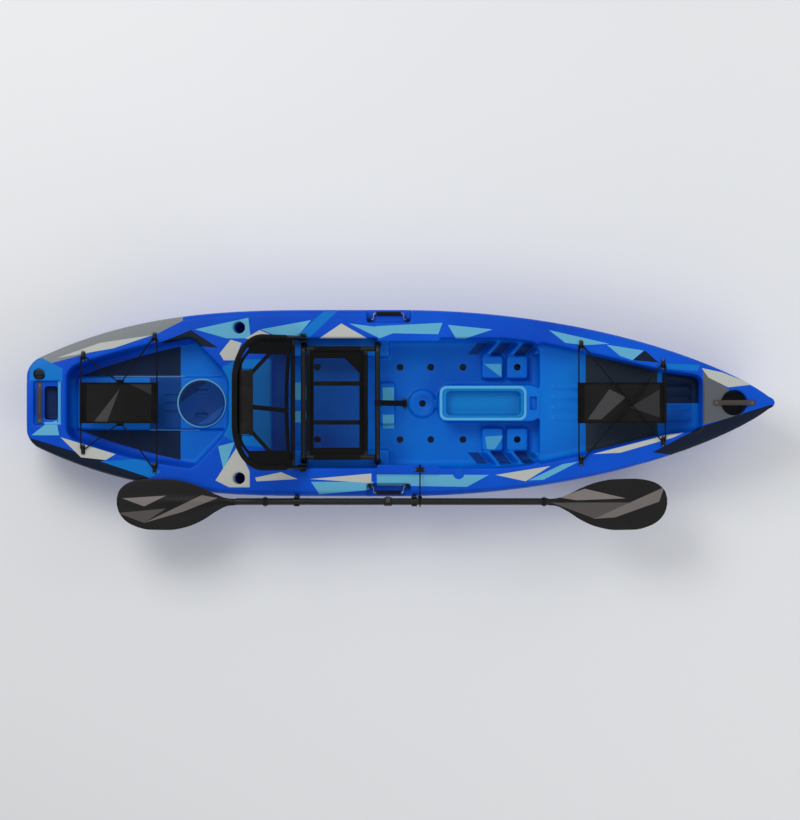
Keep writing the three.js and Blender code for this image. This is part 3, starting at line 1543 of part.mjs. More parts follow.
// Ferrule clamp: a collar on the aft half and a cam lever that hugs it
const collarInner = shaftRadius + runningGap;
const collarMiddle = -collarLength / 2 - seatGap;
const leverInner = collarRadius + runningGap;
const leverOuter = leverInner + leverThickness;
const leverHub = leverThickness + sharpCorner;
const leverPinAt = leverInner + leverHub;
const leverPin = point(0, 0, leverPinAt);
const lugHalf = leverThickness;
const collarRing = lengthwise(turned([
  [collarInner, -collarLength / 2], [collarRadius, -collarLength / 2],
  [collarRadius, collarLength / 2], [collarInner, collarLength / 2],
], roundSides), 1);
const lugs = join([1, -1].map((toward) => {
  const near = toward * (leverWidth / 2 + runningGap);
  const far = toward * (collarLength / 2);
  const [low, high] = [near, far].sort((a, b) => a - b);
  return block(
    point(low, -lugHalf, collarRadius - sharpCorner),
    point(high, lugHalf, leverPinAt + leverPinRadius + sharpCorner),
  );
}));
const clampPin = rod(
  point(-collarLength / 2 + sharpCorner, 0, leverPinAt), point(collarLength / 2 - sharpCorner, 0, leverPinAt),
  leverPinRadius, cordSides,
);
const collar = collarRing.add(lugs).add(clampPin).translate(collarMiddle, 0, 0);
piece('ferrule_collar', collar, 'blackPlastic', paddle);

const leverArc = new THREE.Shape();
leverArc.absarc(0, 0, leverOuter, Math.PI / 2, Math.PI / 2 - leverSweep, true);
leverArc.absarc(0, 0, leverInner, Math.PI / 2 - leverSweep, Math.PI / 2, false);
leverArc.closePath();
const leverPlate = new THREE.ExtrudeGeometry(
  leverArc, { depth: leverWidth, bevelEnabled: false, curveSegments: tubeSides },
);
leverPlate.rotateX(Math.PI / 2).rotateZ(Math.PI / 2).translate(-leverWidth / 2, 0, 0);
const hubEnds = [-leverWidth / 2, leverWidth / 2].map((x) => leverPin.clone().setX(x));
const hub = rod(...hubEnds, leverHub, tubeSides);
const hubBore = rod(
  leverPin.clone().setX(-collarLength), leverPin.clone().setX(collarLength),
  (leverPinRadius + runningGap) / Math.cos(Math.PI / cordSides), cordSides,
);
const collarSpace = rod(point(-collarLength, 0, 0), point(collarLength, 0, 0), leverInner, roundSides);
const lever = solidOf(leverPlate).add(hub).subtract(collarSpace).subtract(hubBore);
piece('ferrule_lever', lever.translate(collarMiddle, 0, 0), 'greyRubber', paddle);

// Cradles that carry the shaft, bolted to the hull's upright side
for (const [k, x] of cradleStations.entries()) {
  const wallSide = halfBreadth(x) + cradleGap;
  const centre = -(paddleSide + wallSide);
  const inner = shaftRadius + cradleClear;
  const outer = inner + cradleWall;
  const top = paddleHeight + cradleArm;
  const ends = [-cradleLength / 2, cradleLength / 2];
  const cup = rod(
    point(ends[0], -centre, paddleHeight), point(ends[1], -centre, paddleHeight), outer, roundSides,
  );
  const arms = block(
    point(ends[0], -centre - outer, paddleHeight), point(ends[1], -centre + outer, top),
  );
  const plate = block(point(ends[0], -cradleWall, cradleFoot), point(ends[1], 0, paddleHeight));
  const bore = rod(
    point(-cradleLength, -centre, paddleHeight), point(cradleLength, -centre, paddleHeight),
    inner / Math.cos(Math.PI / roundSides), roundSides,
  );
  const throat = block(
    point(-cradleLength, -centre - inner, paddleHeight), point(cradleLength, -centre + inner, top + overrun),
  );
  const above = block(
    point(-cradleLength, -centre - outer - overrun, top),
    point(cradleLength, outer, paddleHeight + outer + overrun),
  );
  const cradle = join([plate, cup, arms]).subtract(join([bore, throat, above]));
  piece(`paddle_cradle_${k === 0 ? 'fore' : 'aft'}`, cradle, 'blackPlastic', group(x, -wallSide, 0));
}

// Keeper: an anchor on the starboard gear pad, a cord over the shaft and a cleat on the hull's side
const keeperY = -(gearPadOuter - gearPadWidth / 2);
const keeperSeat = group(keeperStation, keeperY, gearPadTop + seatGap);
padEye('keeper_anchor', keeperSeat);
const keeperWall = -(halfBreadth(keeperStation) + cradleGap);
piece('keeper_cleat', block(
  point(keeperStation - keeperHookReach, keeperWall - keeperHookReach, keeperHookTop - keeperHookHeight),
  point(keeperStation + keeperHookReach, keeperWall, keeperHookTop),
), 'blackPlastic');
const keeperStart = point(keeperStation, keeperY + keeperAnchorGap, gearPadTop + seatGap + eyeCordHeight);
const keeperHook = keeperWall - keeperHookReach / 2;
const keeperEnd = point(keeperStation, keeperHook, keeperHookTop + seatGap + cordRadius / 2);
const keeperPost = point(keeperStation, paddleSide, paddleHeight);
const keeperStops = [{ at: keeperStart }, { at: keeperPost, turn: keeperTurn }, { at: keeperEnd }];
const keeperRoute = cordCorners(keeperStops);
const knotEnd = keeperStart.clone().add(point(0, keeperKnotLength, 0));
const knot = rod(keeperStart, knotEnd, keeperKnotRadius, cordSides);
piece('keeper_cord', tube(keeperRoute, cordRadius, keeperTurn, eyeSides, cordBendSteps).add(knot), 'bungee');

export default kayak;
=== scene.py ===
# %% [markdown]
# # A sit-on-top fishing kayak
# This lesson dresses a CAD kayak in Blender. The CAD frame gives the bodies that the pieces ride on, and the
# sizes here repeat those of the CAD model. Each part says what a piece is on the real boat, and why it is
# made the way it is. Lengths in this file are in millimetres, as on a maker's drawing, and become metres when
# a mesh is made.

# %% Load the CAD frame
import math

import bmesh
import bpy
import numpy as np
from mathutils import Matrix, Quaternion, Vector


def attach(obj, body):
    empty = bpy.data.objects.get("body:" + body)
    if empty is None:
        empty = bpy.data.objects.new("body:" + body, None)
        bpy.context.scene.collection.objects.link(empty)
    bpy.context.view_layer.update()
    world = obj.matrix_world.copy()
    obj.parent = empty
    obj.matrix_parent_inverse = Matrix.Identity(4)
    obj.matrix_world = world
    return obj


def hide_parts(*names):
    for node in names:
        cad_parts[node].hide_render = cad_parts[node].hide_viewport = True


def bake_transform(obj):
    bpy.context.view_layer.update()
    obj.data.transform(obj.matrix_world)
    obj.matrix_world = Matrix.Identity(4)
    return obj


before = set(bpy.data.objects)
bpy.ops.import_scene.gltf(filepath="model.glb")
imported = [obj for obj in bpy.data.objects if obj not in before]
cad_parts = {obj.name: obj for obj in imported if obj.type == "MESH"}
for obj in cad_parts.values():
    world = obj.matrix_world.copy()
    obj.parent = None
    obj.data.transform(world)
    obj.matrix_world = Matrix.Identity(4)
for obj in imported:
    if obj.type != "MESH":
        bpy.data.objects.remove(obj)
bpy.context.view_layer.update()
bpy.ops.object.select_all(action="DESELECT")
MM = 0.001
MERGE = 1e-6
BEVEL_ANGLE = 0.9
print("CAD nodes:", len(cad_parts))

# %% [markdown]
# ## Camera, light and floor
# The boat is seen from straight above, with the bow to the right: the seat's tall backrest stands neither
# to port nor to starboard of its base. The camera is far away, because a long lens keeps a long boat free of
# perspective. Three large soft lamps light it at a plain level.

# %% Camera
VIEW_ELEVATION = math.radians(89.5)
CAMERA_DISTANCE = 16.0
aim = Vector((0.0, -0.03, 0.2))
back = Vector((0, -math.cos(VIEW_ELEVATION), math.sin(VIEW_ELEVATION)))
bpy.ops.object.camera_add(location=aim + back * CAMERA_DISTANCE)
camera = bpy.context.object
camera.rotation_mode = "QUATERNION"
camera.rotation_quaternion = (-back).to_track_quat("-Z", "Y")
camera.data.lens = 160
camera.data.clip_end = 200
bpy.context.scene.camera = camera
print("camera at", [round(v, 2) for v in camera.location])


# %% Lamps, world and floor
def soft_lamp(name, location, size, power):
    bpy.ops.object.light_add(type="AREA", location=location)
    lamp = bpy.context.object
    lamp.name = name
    lamp.data.size = size
    lamp.data.energy = power
    lamp.rotation_mode = "QUATERNION"
    lamp.rotation_quaternion = (-Vector(location)).to_track_quat("-Z", "Y")


soft_lamp("key_lamp", (-2.6, 3.0, 5.2), 3.0, 150)
soft_lamp("fill_lamp", (3.2, -3.6, 4.6), 4.0, 70)
soft_lamp("end_lamp", (4.4, 2.6, 3.0), 2.5, 40)

world = bpy.data.worlds.new("studio")
bpy.context.scene.world = world
world.use_nodes = True
world.node_tree.nodes["Background"].inputs["Color"].default_value = (0.86, 0.88, 0.9, 1)
world.node_tree.nodes["Background"].inputs["Strength"].default_value = 0.5
bpy.context.scene.view_settings.view_transform = "Standard"

bpy.ops.mesh.primitive_plane_add(size=40, location=(0, 0, -0.0015))
floor = bpy.context.object
floor.name = "studio_floor"

# %% [markdown]
# ## Shader maths
# A material is easier to read as an expression than as a web of nodes. This small class wraps a socket and
# gives it arithmetic, so `1 - mask` adds the Math node that it means.


# %% A socket with arithmetic
class Value:
    def __init__(self, finish, socket):
        self.finish = finish
        self.socket = socket

    def math(self, operation, *others):
        inputs = [o.socket if isinstance(o, Value) else o for o in (self, *others)]
        return self.finish.node("ShaderNodeMath", {"operation": operation}, dict(enumerate(inputs)))

    def __add__(self, other):
        return self.math("ADD", other)

    __radd__ = __add__

    def __mul__(self, other):
        return self.math("MULTIPLY", other)

    __rmul__ = __mul__

    def __sub__(self, other):
        return self.math("SUBTRACT", other)

    def __rsub__(self, other):
        return (self * -1) + other

    def __gt__(self, other):
        return self.math("GREATER_THAN", other)

    def __lt__(self, other):
        return self.math("LESS_THAN", other)

    def least(self, other):
        return self.math("MINIMUM", other)

    def most(self, other):
        return self.math("MAXIMUM", other)

    def size(self):
        return self.math("ABSOLUTE")

    def between(self, low, high, to_low=0.0, to_high=1.0):
        values = {0: self.socket, 1: low, 2: high, 3: to_low, 4: to_high}
        return self.finish.node("ShaderNodeMapRange", {"clamp": True}, values)


class Finish:
    """A material whose nodes are added by name, with the Principled shader's own sockets for constants."""

    def __init__(self, name, **constants):
        self.material = bpy.data.materials.new(name)
        self.material.use_nodes = True
        self.nodes = self.material.node_tree.nodes
        self.links = self.material.node_tree.links
        self.shader = self.nodes["Principled BSDF"]
        for socket, value in constants.items():
            self.shader.inputs[socket.replace("_", " ")].default_value = value

    def node(self, kind, settings, inputs, output=0):
        made = self.nodes.new(kind)
        for key, value in settings.items():
            setattr(made, key, value)
        for key, value in inputs.items():
            socket = value.socket if isinstance(value, Value) else value
            if isinstance(socket, bpy.types.NodeSocket):
                self.links.new(socket, made.inputs[key])
            else:
                made.inputs[key].default_value = socket
        return Value(self, made.outputs[output])

    def place(self):
        return self.node("ShaderNodeTexCoord", {}, {}, "Object")

    def axes(self, vector=None):
        split = self.node("ShaderNodeSeparateXYZ", {}, {0: vector or self.place()})
        return [Value(self, out) for out in split.socket.node.outputs]

    def noise(self, scale, detail=3.0, vector=None):
        inputs = {"Vector": vector or self.place(), "Scale": scale, "Detail": detail}
        return self.node("ShaderNodeTexNoise", {}, inputs)

    def mix(self, mask, first, second):
        settings = {"data_type": "RGBA"}
        return self.node("ShaderNodeMix", settings, {0: mask, 6: first, 7: second}, 2)

    def set(self, socket, value):
        self.links.new(value.socket, self.shader.inputs[socket])

    def bump(self, height, distance, strength=1.0):
        inputs = {"Height": height, "Distance": distance, "Strength": strength}
        self.set("Normal", self.node("ShaderNodeBump", {}, inputs))


def colour(code):
    """A colour as written on a paint card, in hex, turned to Blender's linear numbers."""
    parts = [int(code[i : i + 2], 16) / 255 for i in (0, 2, 4)]
    linear = [p / 12.92 if p <= 0.04045 else ((p + 0.055) / 1.055) ** 2.4 for p in parts]
    return (*linear, 1.0)


# %% The floor's finish
floor_finish = Finish("studio_floor", Roughness=0.9)
floor_finish.shader.inputs["Base Color"].default_value = colour("F1F2F3")
floor.data.materials.append(floor_finish.material)

# %% [markdown]
# ## Helpers for meshes
# Most pieces here are tubes, turned forms and plates, and Blender makes them as a workshop does: a disc is
# pushed along and spun round a bend, a profile is spun on a lathe, an outline is pushed through its
# thickness and its rim bevelled. The hull, the blades and the pad have no such history, so they are lofts.
# All helpers take millimetres.


# %% Meshes from rings and profiles
def new_piece(name, verts, faces):
    mesh = bpy.data.meshes.new(name)
    mesh.from_pydata([Vector(v) * MM for v in verts], [], faces)
    mesh.update()
    piece = bpy.data.objects.new(name, mesh)
    bpy.context.scene.collection.objects.link(piece)
    return piece


def outward(piece):
    """Merges doubles and turns every face outwards."""
    work = bmesh.new()
    work.from_mesh(piece.data)
    bmesh.ops.remove_doubles(work, verts=work.verts, dist=MERGE)
    bmesh.ops.recalc_face_normals(work, faces=work.faces)
    work.to_mesh(piece.data)
    work.free()
    return piece


def lofted(name, rings, closed=False):
    """A skin over rings of equally many points. The ends are capped unless the row of rings closes."""
    count = len(rings[0])
    verts = [p for ring in rings for p in ring]
    faces = []
    rows = len(rings) if closed else len(rings) - 1
    for r in range(rows):
        for i in range(count):
            a, b = r * count + i, r * count + (i + 1) % count
            c, d = [((r + 1) % len(rings)) * count + k for k in ((i + 1) % count, i)]
            faces.append((a, b, c, d))
    if not closed:
        faces.append(tuple(range(count)))
        faces.append(tuple(range(len(verts) - count, len(verts))))
    return outward(new_piece(name, verts, faces))


def choose(piece):
    bpy.ops.object.select_all(action="DESELECT")
    piece.select_set(True)
    bpy.context.view_layer.objects.active = piece
    return piece


def modify(piece, kind, **settings):
    """Adds a modifier and applies it."""
    choose(piece)
    modifier = piece.modifiers.new(kind.lower(), kind)
    for key, value in settings.items():
        setattr(modifier, key, value)
    bpy.ops.object.modifier_apply(modifier=modifier.name)
    return piece


def smooth(piece, degrees=35):
    choose(piece)
    bpy.ops.object.shade_smooth_by_angle(angle=math.radians(degrees))
    return piece


def cut(piece, *cutters, solver="MANIFOLD", operation="DIFFERENCE"):
    for cutter in cutters:
        modify(piece, "BOOLEAN", object=cutter, operation=operation, solver=solver)
        bpy.data.objects.remove(cutter)
    return piece


def joined(name, pieces):
    choose(pieces[0])
    for piece in pieces[1:]:
        piece.select_set(True)
    bpy.ops.object.join()
    whole = bpy.context.object
    whole.name = name
    whole.data.name = name
    return whole


def dressed(piece, finish, body, *nodes, slot=None):
    """Gives a finished piece its material and its body, and hides the CAD nodes that it stands for."""
    piece.data.materials.clear()
    piece.data.materials.append(finish.material)
    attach(piece, body)
    if nodes:
        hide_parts(*nodes)
    return piece


# %% Bars, turned forms, tubes and plates
def settled(name):
    """Names the primitive that was just added and puts its place and turn into its mesh."""
    piece = bpy.context.object
    piece.name = piece.data.name = name
    bpy.ops.object.transform_apply(location=True, rotation=True, scale=True)
    return piece


def closed_up(piece, degrees=35):
    """Merges doubles, drops loose edges and turns the faces outwards, still in edit mode."""
    bpy.ops.mesh.select_all(action="SELECT")
    bpy.ops.mesh.remove_doubles(threshold=MERGE)
    bpy.ops.mesh.delete_loose()
    bpy.ops.mesh.select_all(action="SELECT")
    bpy.ops.mesh.normals_make_consistent(inside=False)
    bpy.ops.object.mode_set(mode="OBJECT")
    return smooth(piece, degrees)


def bar(name, start, end, radius, sides=24):
    """A round bar between two points."""
    start, end = Vector(start) * MM, Vector(end) * MM
    turn = (end - start).to_track_quat("Z", "Y").to_euler()
    size = {"radius": radius * MM, "depth": (end - start).length}
    bpy.ops.object.select_all(action="DESELECT")
    bpy.ops.mesh.primitive_cylinder_add(vertices=sides, location=(start + end) / 2, rotation=turn, **size)
    return smooth(settled(name))


def turned(name, profile, sides=64, centre=(0, 0, 0), axis=(0, 0, 1)):
    """A closed profile of (radius, height) pairs, spun about an axis as on a lathe."""
    turn = Vector((0, 0, 1)).rotation_difference(Vector(axis))
    middle = Vector(centre) * MM
    bpy.ops.object.select_all(action="DESELECT")
    bpy.ops.mesh.primitive_circle_add(vertices=len(profile), radius=MM)
    piece = settled(name)
    for vertex, (radius, height) in zip(piece.data.vertices, profile):
        vertex.co = middle + turn @ Vector((radius, 0, height)) * MM
    bpy.ops.object.mode_set(mode="EDIT")
    bpy.ops.mesh.select_all(action="SELECT")
    spindle = turn @ Vector((0, 0, 1))
    bpy.ops.mesh.spin(steps=sides, angle=2 * math.pi, center=middle, axis=spindle)
    return closed_up(piece)


def tube(name, corners, radius, bend, sides=24, steps=10):
    """A disc pushed along each straight run and spun round each bend. Spin counts its angle backwards."""
    route, bend = [Vector(corner) * MM for corner in corners], bend * MM
    at, heading = route[0], (route[1] - route[0]).normalized()
    turn = heading.to_track_quat("Z", "Y").to_euler()
    bpy.ops.object.select_all(action="DESELECT")
    bpy.ops.mesh.primitive_circle_add(
        vertices=sides, radius=radius * MM, fill_type="NGON", location=at, rotation=turn
    )
    piece = settled(name)
    bpy.ops.object.mode_set(mode="EDIT")
    bpy.ops.mesh.select_all(action="SELECT")
    for corner, beyond in zip(route[1:], route[2:]):
        onward = (beyond - corner).normalized()
        angle = heading.angle(onward)
        if angle > 1e-4:
            axis = heading.cross(onward).normalized()
            reach = bend * math.tan(angle / 2)
            start = corner - heading * reach
            bpy.ops.mesh.extrude_region_move(TRANSFORM_OT_translate={"value": start - at})
            middle = start + axis.cross(heading) * bend
            bpy.ops.mesh.spin(steps=steps, angle=-angle, center=middle, axis=axis)
            at, heading = corner + onward * reach, onward
    bpy.ops.mesh.extrude_region_move(TRANSFORM_OT_translate={"value": route[-1] - at})
    return closed_up(piece)


def plate(name, outline, along, bevel, segments=2):
    """An outline of points pushed along a vector, with its rim bevelled."""
    bpy.ops.object.select_all(action="DESELECT")
    bpy.ops.mesh.primitive_circle_add(vertices=len(outline), fill_type="NGON")
    piece = settled(name)
    for vertex, point in zip(piece.data.vertices, outline):
        vertex.co = Vector(point) * MM
    bpy.ops.object.mode_set(mode="EDIT")
    bpy.ops.mesh.select_all(action="SELECT")
    bpy.ops.mesh.extrude_region_move(TRANSFORM_OT_translate={"value": Vector(along) * MM})
    closed_up(piece)
    rim = {"limit_method": "ANGLE", "angle_limit": BEVEL_ANGLE}
    modify(piece, "BEVEL", width=bevel * MM, segments=segments, **rim)
    return smooth(piece, 40)


def section(radius, sides):
    turns = [2 * math.pi * k / sides for k in range(sides)]
    return [(radius * math.cos(t), radius * math.sin(t)) for t in turns]


def swept(name, points, shape, closed=False):
    """A tube of one section along points, carried without twist."""
    points = [Vector(p) for p in points]
    count = len(points)
    tangents = []
    for i in range(count):
        if closed:
            along = points[(i + 1) % count] - points[i - 1]
        else:
            along = points[min(i + 1, count - 1)] - points[max(i - 1, 0)]
        tangents.append(along.normalized())
    side = tangents[0].orthogonal().normalized()
    if abs(tangents[0].z) < 0.95:
        side = Vector((0, 0, 1)).cross(tangents[0]).normalized()
    rings = []
    for point, tangent in zip(points, tangents):
        side = (side - tangent * side.dot(tangent)).normalized()
        up = tangent.cross(side)
        rings.append([point + side * x + up * y for x, y in shape])
    return lofted(name, rings, closed)


def softened_box(name, low, high, bevel, segments=3):
    """A box with rounded edges, made from Blender's cube."""
    low, high = Vector(low) * MM, Vector(high) * MM
    bpy.ops.object.select_all(action="DESELECT")
    bpy.ops.mesh.primitive_cube_add(size=1, location=(low + high) / 2, scale=high - low)
    piece = settled(name)
    modify(piece, "BEVEL", width=bevel * MM, segments=segments)
    return smooth(piece)


def placed(piece, matrix):
    piece.data.transform(matrix)
    piece.data.update()
    return piece


def copy_of(piece, name):
    twin = piece.copy()
    twin.data = piece.data.copy()
    twin.name = name
    bpy.context.scene.collection.objects.link(twin)
    return twin


# %% [markdown]
# ## The hull's lines
# The hull is one rotomoulded shell. Its outline, sheer and keel are smooth curves from end to end, so its
# skin is a loft: the same curves as the CAD model's, but with a section every centimetre, so that no facet
# shows. The section's points are joined by a curve that never overshoots them, because the keel strip and
# the runners must stay flat.

# %% Hull sizes
HULL_LENGTH, HULL_BEAM = 3250, 816
HALF_LENGTH, HALF_BEAM = HULL_LENGTH / 2, HULL_BEAM / 2
GUNWALE, BOW_HEIGHT, STERN_HEIGHT, CROWN = 290, 400, 335, 10
BOW_NOSE, STERN_CORNER = 24, 50
BOW_OUTLINE_POWER, STERN_OUTLINE_POWER, STERN_NARROWING = 0.78, 2.9, 0.58
PARALLEL_SHARE, KEEL_FLAT_SHARE = 0.094, 0.277
SHEER_POWER, ROCKER_POWER, STEM_POWER = 2.5, 2.2, 12
BOW_RISES, STERN_RISES = (110, 150), (50, 60)
BOW_VEE_START, STERN_VEE_START, STERN_VEE = 0.3, 0.45, 0.4
MID_SECTION = [
    (0, 0), (0.07, 0), (0.14, 0.05), (0.26, 0.06), (0.4, 0), (0.62, 0), (0.8, 0.055),
    (0.93, 0.22), (0.985, 0.5), (1, 0.82), (0.99, 0.95), (0.95, 1),
]
END_SECTION = [
    (0, 0), (0.05, 0), (0.13, 0.05), (0.25, 0.12), (0.4, 0.22), (0.6, 0.38), (0.76, 0.52),
    (0.88, 0.66), (0.95, 0.79), (1, 0.92), (0.985, 0.97), (0.95, 1),
]


def mix(a, b, t):
    return a + (b - a) * t


def smoothstep(x, low, high):
    t = min(max((x - low) / (high - low), 0), 1)
    return t * t * (3 - 2 * t)


def half_breadth(x):
    if x > 0:
        nose = HALF_LENGTH - BOW_NOSE
        if x > nose:
            return math.sqrt(max(BOW_NOSE**2 - (x - nose) ** 2, 4))
        return HALF_BEAM * (1 - (x / HALF_LENGTH) ** 2) ** BOW_OUTLINE_POWER
    fore = -PARALLEL_SHARE * HULL_LENGTH
    along = max((x - fore) / (-HALF_LENGTH - fore), 0)
    return HALF_BEAM * (1 - STERN_NARROWING * along**STERN_OUTLINE_POWER)


def gunwale_at(x):
    return mix(GUNWALE, BOW_HEIGHT if x > 0 else STERN_HEIGHT, abs(x / HALF_LENGTH) ** SHEER_POWER)


def deck_at(x, y=0):
    return gunwale_at(x) + CROWN * (1 - (y / half_breadth(x)) ** 2)


def keel_at(x):
    flat = KEEL_FLAT_SHARE * HULL_LENGTH
    along = max((abs(x) - flat) / (HALF_LENGTH - flat), 0)
    rocker, rise = BOW_RISES if x > 0 else STERN_RISES
    return rocker * along**ROCKER_POWER + rise * along**STEM_POWER


def vee_at(x):
    if x > 0:
        return smoothstep(x / HALF_LENGTH, BOW_VEE_START, 1)
    return STERN_VEE * smoothstep(-x / HALF_LENGTH, STERN_VEE_START, 1)


def corner_cut(distance, radius):
    inside = min(max(distance, 0), radius)
    return radius - math.sqrt(radius**2 - (radius - inside) ** 2)


def steady_curve(points, per_span):
    """A smooth curve through points that never overshoots them (each slope is the gentler neighbour's)."""
    pts = np.array(points, float)
    gaps = np.maximum(np.linalg.norm(np.diff(pts, axis=0), axis=1), 1e-6)
    t = np.concatenate([[0], np.cumsum(gaps)])
    slopes = np.diff(pts, axis=0) / gaps[:, None]
    same = slopes[:-1] * slopes[1:] > 0
    middle = np.where(same, 2 * slopes[:-1] * slopes[1:] / np.where(same, slopes[:-1] + slopes[1:], 1), 0)
    tangent = np.vstack([slopes[:1], middle, slopes[-1:]])
    out = []
    for i, gap in enumerate(gaps):
        for k in range(per_span):
            u = k / per_span
            h = [2 * u**3 - 3 * u**2 + 1, u**3 - 2 * u**2 + u, 3 * u**2 - 2 * u**3, u**3 - u**2]
            near = h[0] * pts[i] + h[1] * gap * tangent[i]
            out.append(near + h[2] * pts[i + 1] + h[3] * gap * tangent[i + 1])
    out.append(pts[-1])
    return np.array(out)


# %% The hull's skin
def hull_ring(x, inset=0, per_span=3):
    half = half_breadth(x) - corner_cut(x + HALF_LENGTH, STERN_CORNER) - inset
    low, edge, vee = keel_at(x) + inset, gunwale_at(x) - inset, vee_at(x)
    shares = [(mix(a[0], b[0], vee), mix(a[1], b[1], vee)) for a, b in zip(MID_SECTION, END_SECTION)]
    side = [(half * y, mix(low, edge, z)) for y, z in steady_curve(shares, per_span)]
    deck = [(half * s, edge + CROWN * (1 - s * s)) for s in (0.8, 0.6, 0.4, 0.2)]
    port = side[1:] + deck
    ring = [(x, 0, low)] + [(x, y, z) for y, z in port] + [(x, 0, edge + CROWN)]
    return ring + [(x, -y, z) for y, z in reversed(port)]


def hull_skin(name, aft, fore, step, inset=0, per_span=3):
    """A loft of hull rings, bunched where the ends turn round."""
    bunch = [1 - math.cos(k / 8 * math.pi / 2) for k in range(8)]
    stations = [aft + STERN_CORNER * b for b in bunch]
    count = round((fore - BOW_NOSE - aft - STERN_CORNER) / step)
    stations += [mix(aft + STERN_CORNER, fore - BOW_NOSE, k / count) for k in range(count + 1)]
    stations += [fore - BOW_NOSE * b for b in reversed(bunch[:-1])]
    return lofted(name, [hull_ring(x, inset, per_span) for x in stations])


hull = hull_skin("hull_shell", -HALF_LENGTH, HALF_LENGTH, 12)
print("hull skin faces:", len(hull.data.polygons))

# %% [markdown]
# ## Wells, platforms and footrests
# Everything below the deck line is moulded into the same shell. Each recess is a loft down from the rim with
# a drafted wall and a floor fillet, as a mould needs, and what stands in it is taken out of the cutter
# first, so that one cut leaves the well with its raised forms.

# %% Plans and mouldings
RIM_ROUND, WELL_DRAFT, WELL_FILLET = 6, 10, 22
OVERRUN, SINK = 3, 8


def plan_ring(plan, inset, height, corner_steps=6, spans=24):
    """A ring of a plan, drawn in by an inset, at a height that may change along the boat."""
    aft, fore = plan["aft"] + inset, plan["fore"] - inset
    corner = max(plan["corner"] - inset, 1)
    arc = [corner * (1 - math.cos(k / corner_steps * math.pi / 2)) for k in range(corner_steps + 1)]
    middle = [mix(aft + corner, fore - corner, k / spans) for k in range(1, spans)]
    xs = [aft + u for u in arc] + middle + [fore - u for u in reversed(arc)]
    level = height if callable(height) else (lambda x: height)
    port, starboard = [], []
    for x in xs:
        draw = inset + corner_cut(x - aft, corner) + corner_cut(fore - x, corner)
        port.append((x, plan["port"](x) - draw, level(x)))
        starboard.append((x, plan["starboard"](x) + draw, level(x)))
    return port + starboard[::-1]


def moulding(name, plan, levels, **facets):
    return lofted(name, [plan_ring(plan, inset, height, **facets) for inset, height in levels])


def plan_of(aft, fore, corner, port, starboard=None):
    high = port if callable(port) else (lambda x: port)
    low = (lambda x: -high(x)) if starboard is None else (lambda x: starboard)
    return {"aft": aft, "fore": fore, "corner": corner, "port": high, "starboard": low}


def span(side, inner, outer):
    """The higher and the lower edge of a strip that runs along one side of the boat."""
    return (outer, inner) if side > 0 else (-inner, -outer)


def rim_height(plan, x):
    return deck_at(x, plan["port"](x))


def recess(name, plan, floor_height):
    """A well's cutter: a rounded rim, a drafted wall and a fillet in four steps down to the floor."""
    return moulding(name, plan, [
        (-RIM_ROUND, lambda x: rim_height(plan, x) + OVERRUN + CROWN),
        (-RIM_ROUND, lambda x: rim_height(plan, x)),
        (0, lambda x: rim_height(plan, x) - RIM_ROUND),
        (WELL_DRAFT, floor_height + WELL_FILLET),
        (WELL_DRAFT + WELL_FILLET * 0.12, floor_height + WELL_FILLET * 0.55),
        (WELL_DRAFT + WELL_FILLET / 3, floor_height + WELL_FILLET / 3),
        (WELL_DRAFT + WELL_FILLET * 0.62, floor_height + WELL_FILLET * 0.1),
        (WELL_DRAFT + WELL_FILLET, floor_height),
    ])


def mound(name, plan, base, top):
    height = top - base
    draft = WELL_DRAFT * height / GUNWALE
    round_over = min(RIM_ROUND, height / 2)
    return moulding(name, plan, [
        (-draft, base - SINK),
        (0, top - round_over),
        (round_over * 0.3, top - round_over * 0.3),
        (round_over, top),
    ], spans=8)


# %% Sizes of the wells
TANK_AFT, TANK_FORE, TANK_CHAMFER, CHAMFER_HALF = -1453, -748, -905, 120
TANK_FLOOR, PLATFORM_TOP, PLATFORM_HALF = 165, 180, 115
GUNWALE_WIDTH, FOOT_CORNER = 100, 9
COCKPIT_AFT, COCKPIT_FORE, COCKPIT_HALF, COCKPIT_FLOOR = -560, 620, 283, 95
BOW_AFT, BOW_FORE, BOW_FLOOR = 590, 1317, 198
BOW_RIM_MIDDLE = HALF_LENGTH - 480
BOW_RIM_SHARES = (0.73, 0.6, 0.66)
SEAT_REAR, SEAT_DEPTH = -422, 324
SEAT_FRONT = SEAT_REAR + SEAT_DEPTH
LEDGE_TOP, LEDGE_WIDTH, CONSOLE_TOP = 215, 78, 204
TRAY_DEPTH, BOSS_HEIGHT, FLOOR_BLOCK_HEIGHT, HEEL_BLOCK_HEIGHT = 40, 14, 26, 35
TREAD_AFT, TREAD_PITCH, TREAD_LENGTH, TREAD_HEIGHT = 352, 104, 46, 78
TREAD_SLANT = 58 / 73
RIB_PITCH, RIB_HALF, RIB_HEIGHT = 46, 7, 5


def tank_half(x):
    along = (x - TANK_CHAMFER) / (TANK_FORE - TANK_CHAMFER)
    if along > 0:
        return mix(half_breadth(TANK_CHAMFER) - GUNWALE_WIDTH, CHAMFER_HALF, along)
    return half_breadth(x) - GUNWALE_WIDTH


def bow_half(x):
    aft, middle, fore = BOW_RIM_SHARES
    if x < BOW_RIM_MIDDLE:
        share = mix(aft, middle, max((x - COCKPIT_FORE) / (BOW_RIM_MIDDLE - COCKPIT_FORE), 0))
    else:
        share = mix(middle, fore, (x - BOW_RIM_MIDDLE) / (BOW_FORE - BOW_RIM_MIDDLE))
    return min(half_breadth(x) * share, COCKPIT_HALF)


def cockpit_half(x):
    return min(half_breadth(x) - GUNWALE_WIDTH, COCKPIT_HALF)


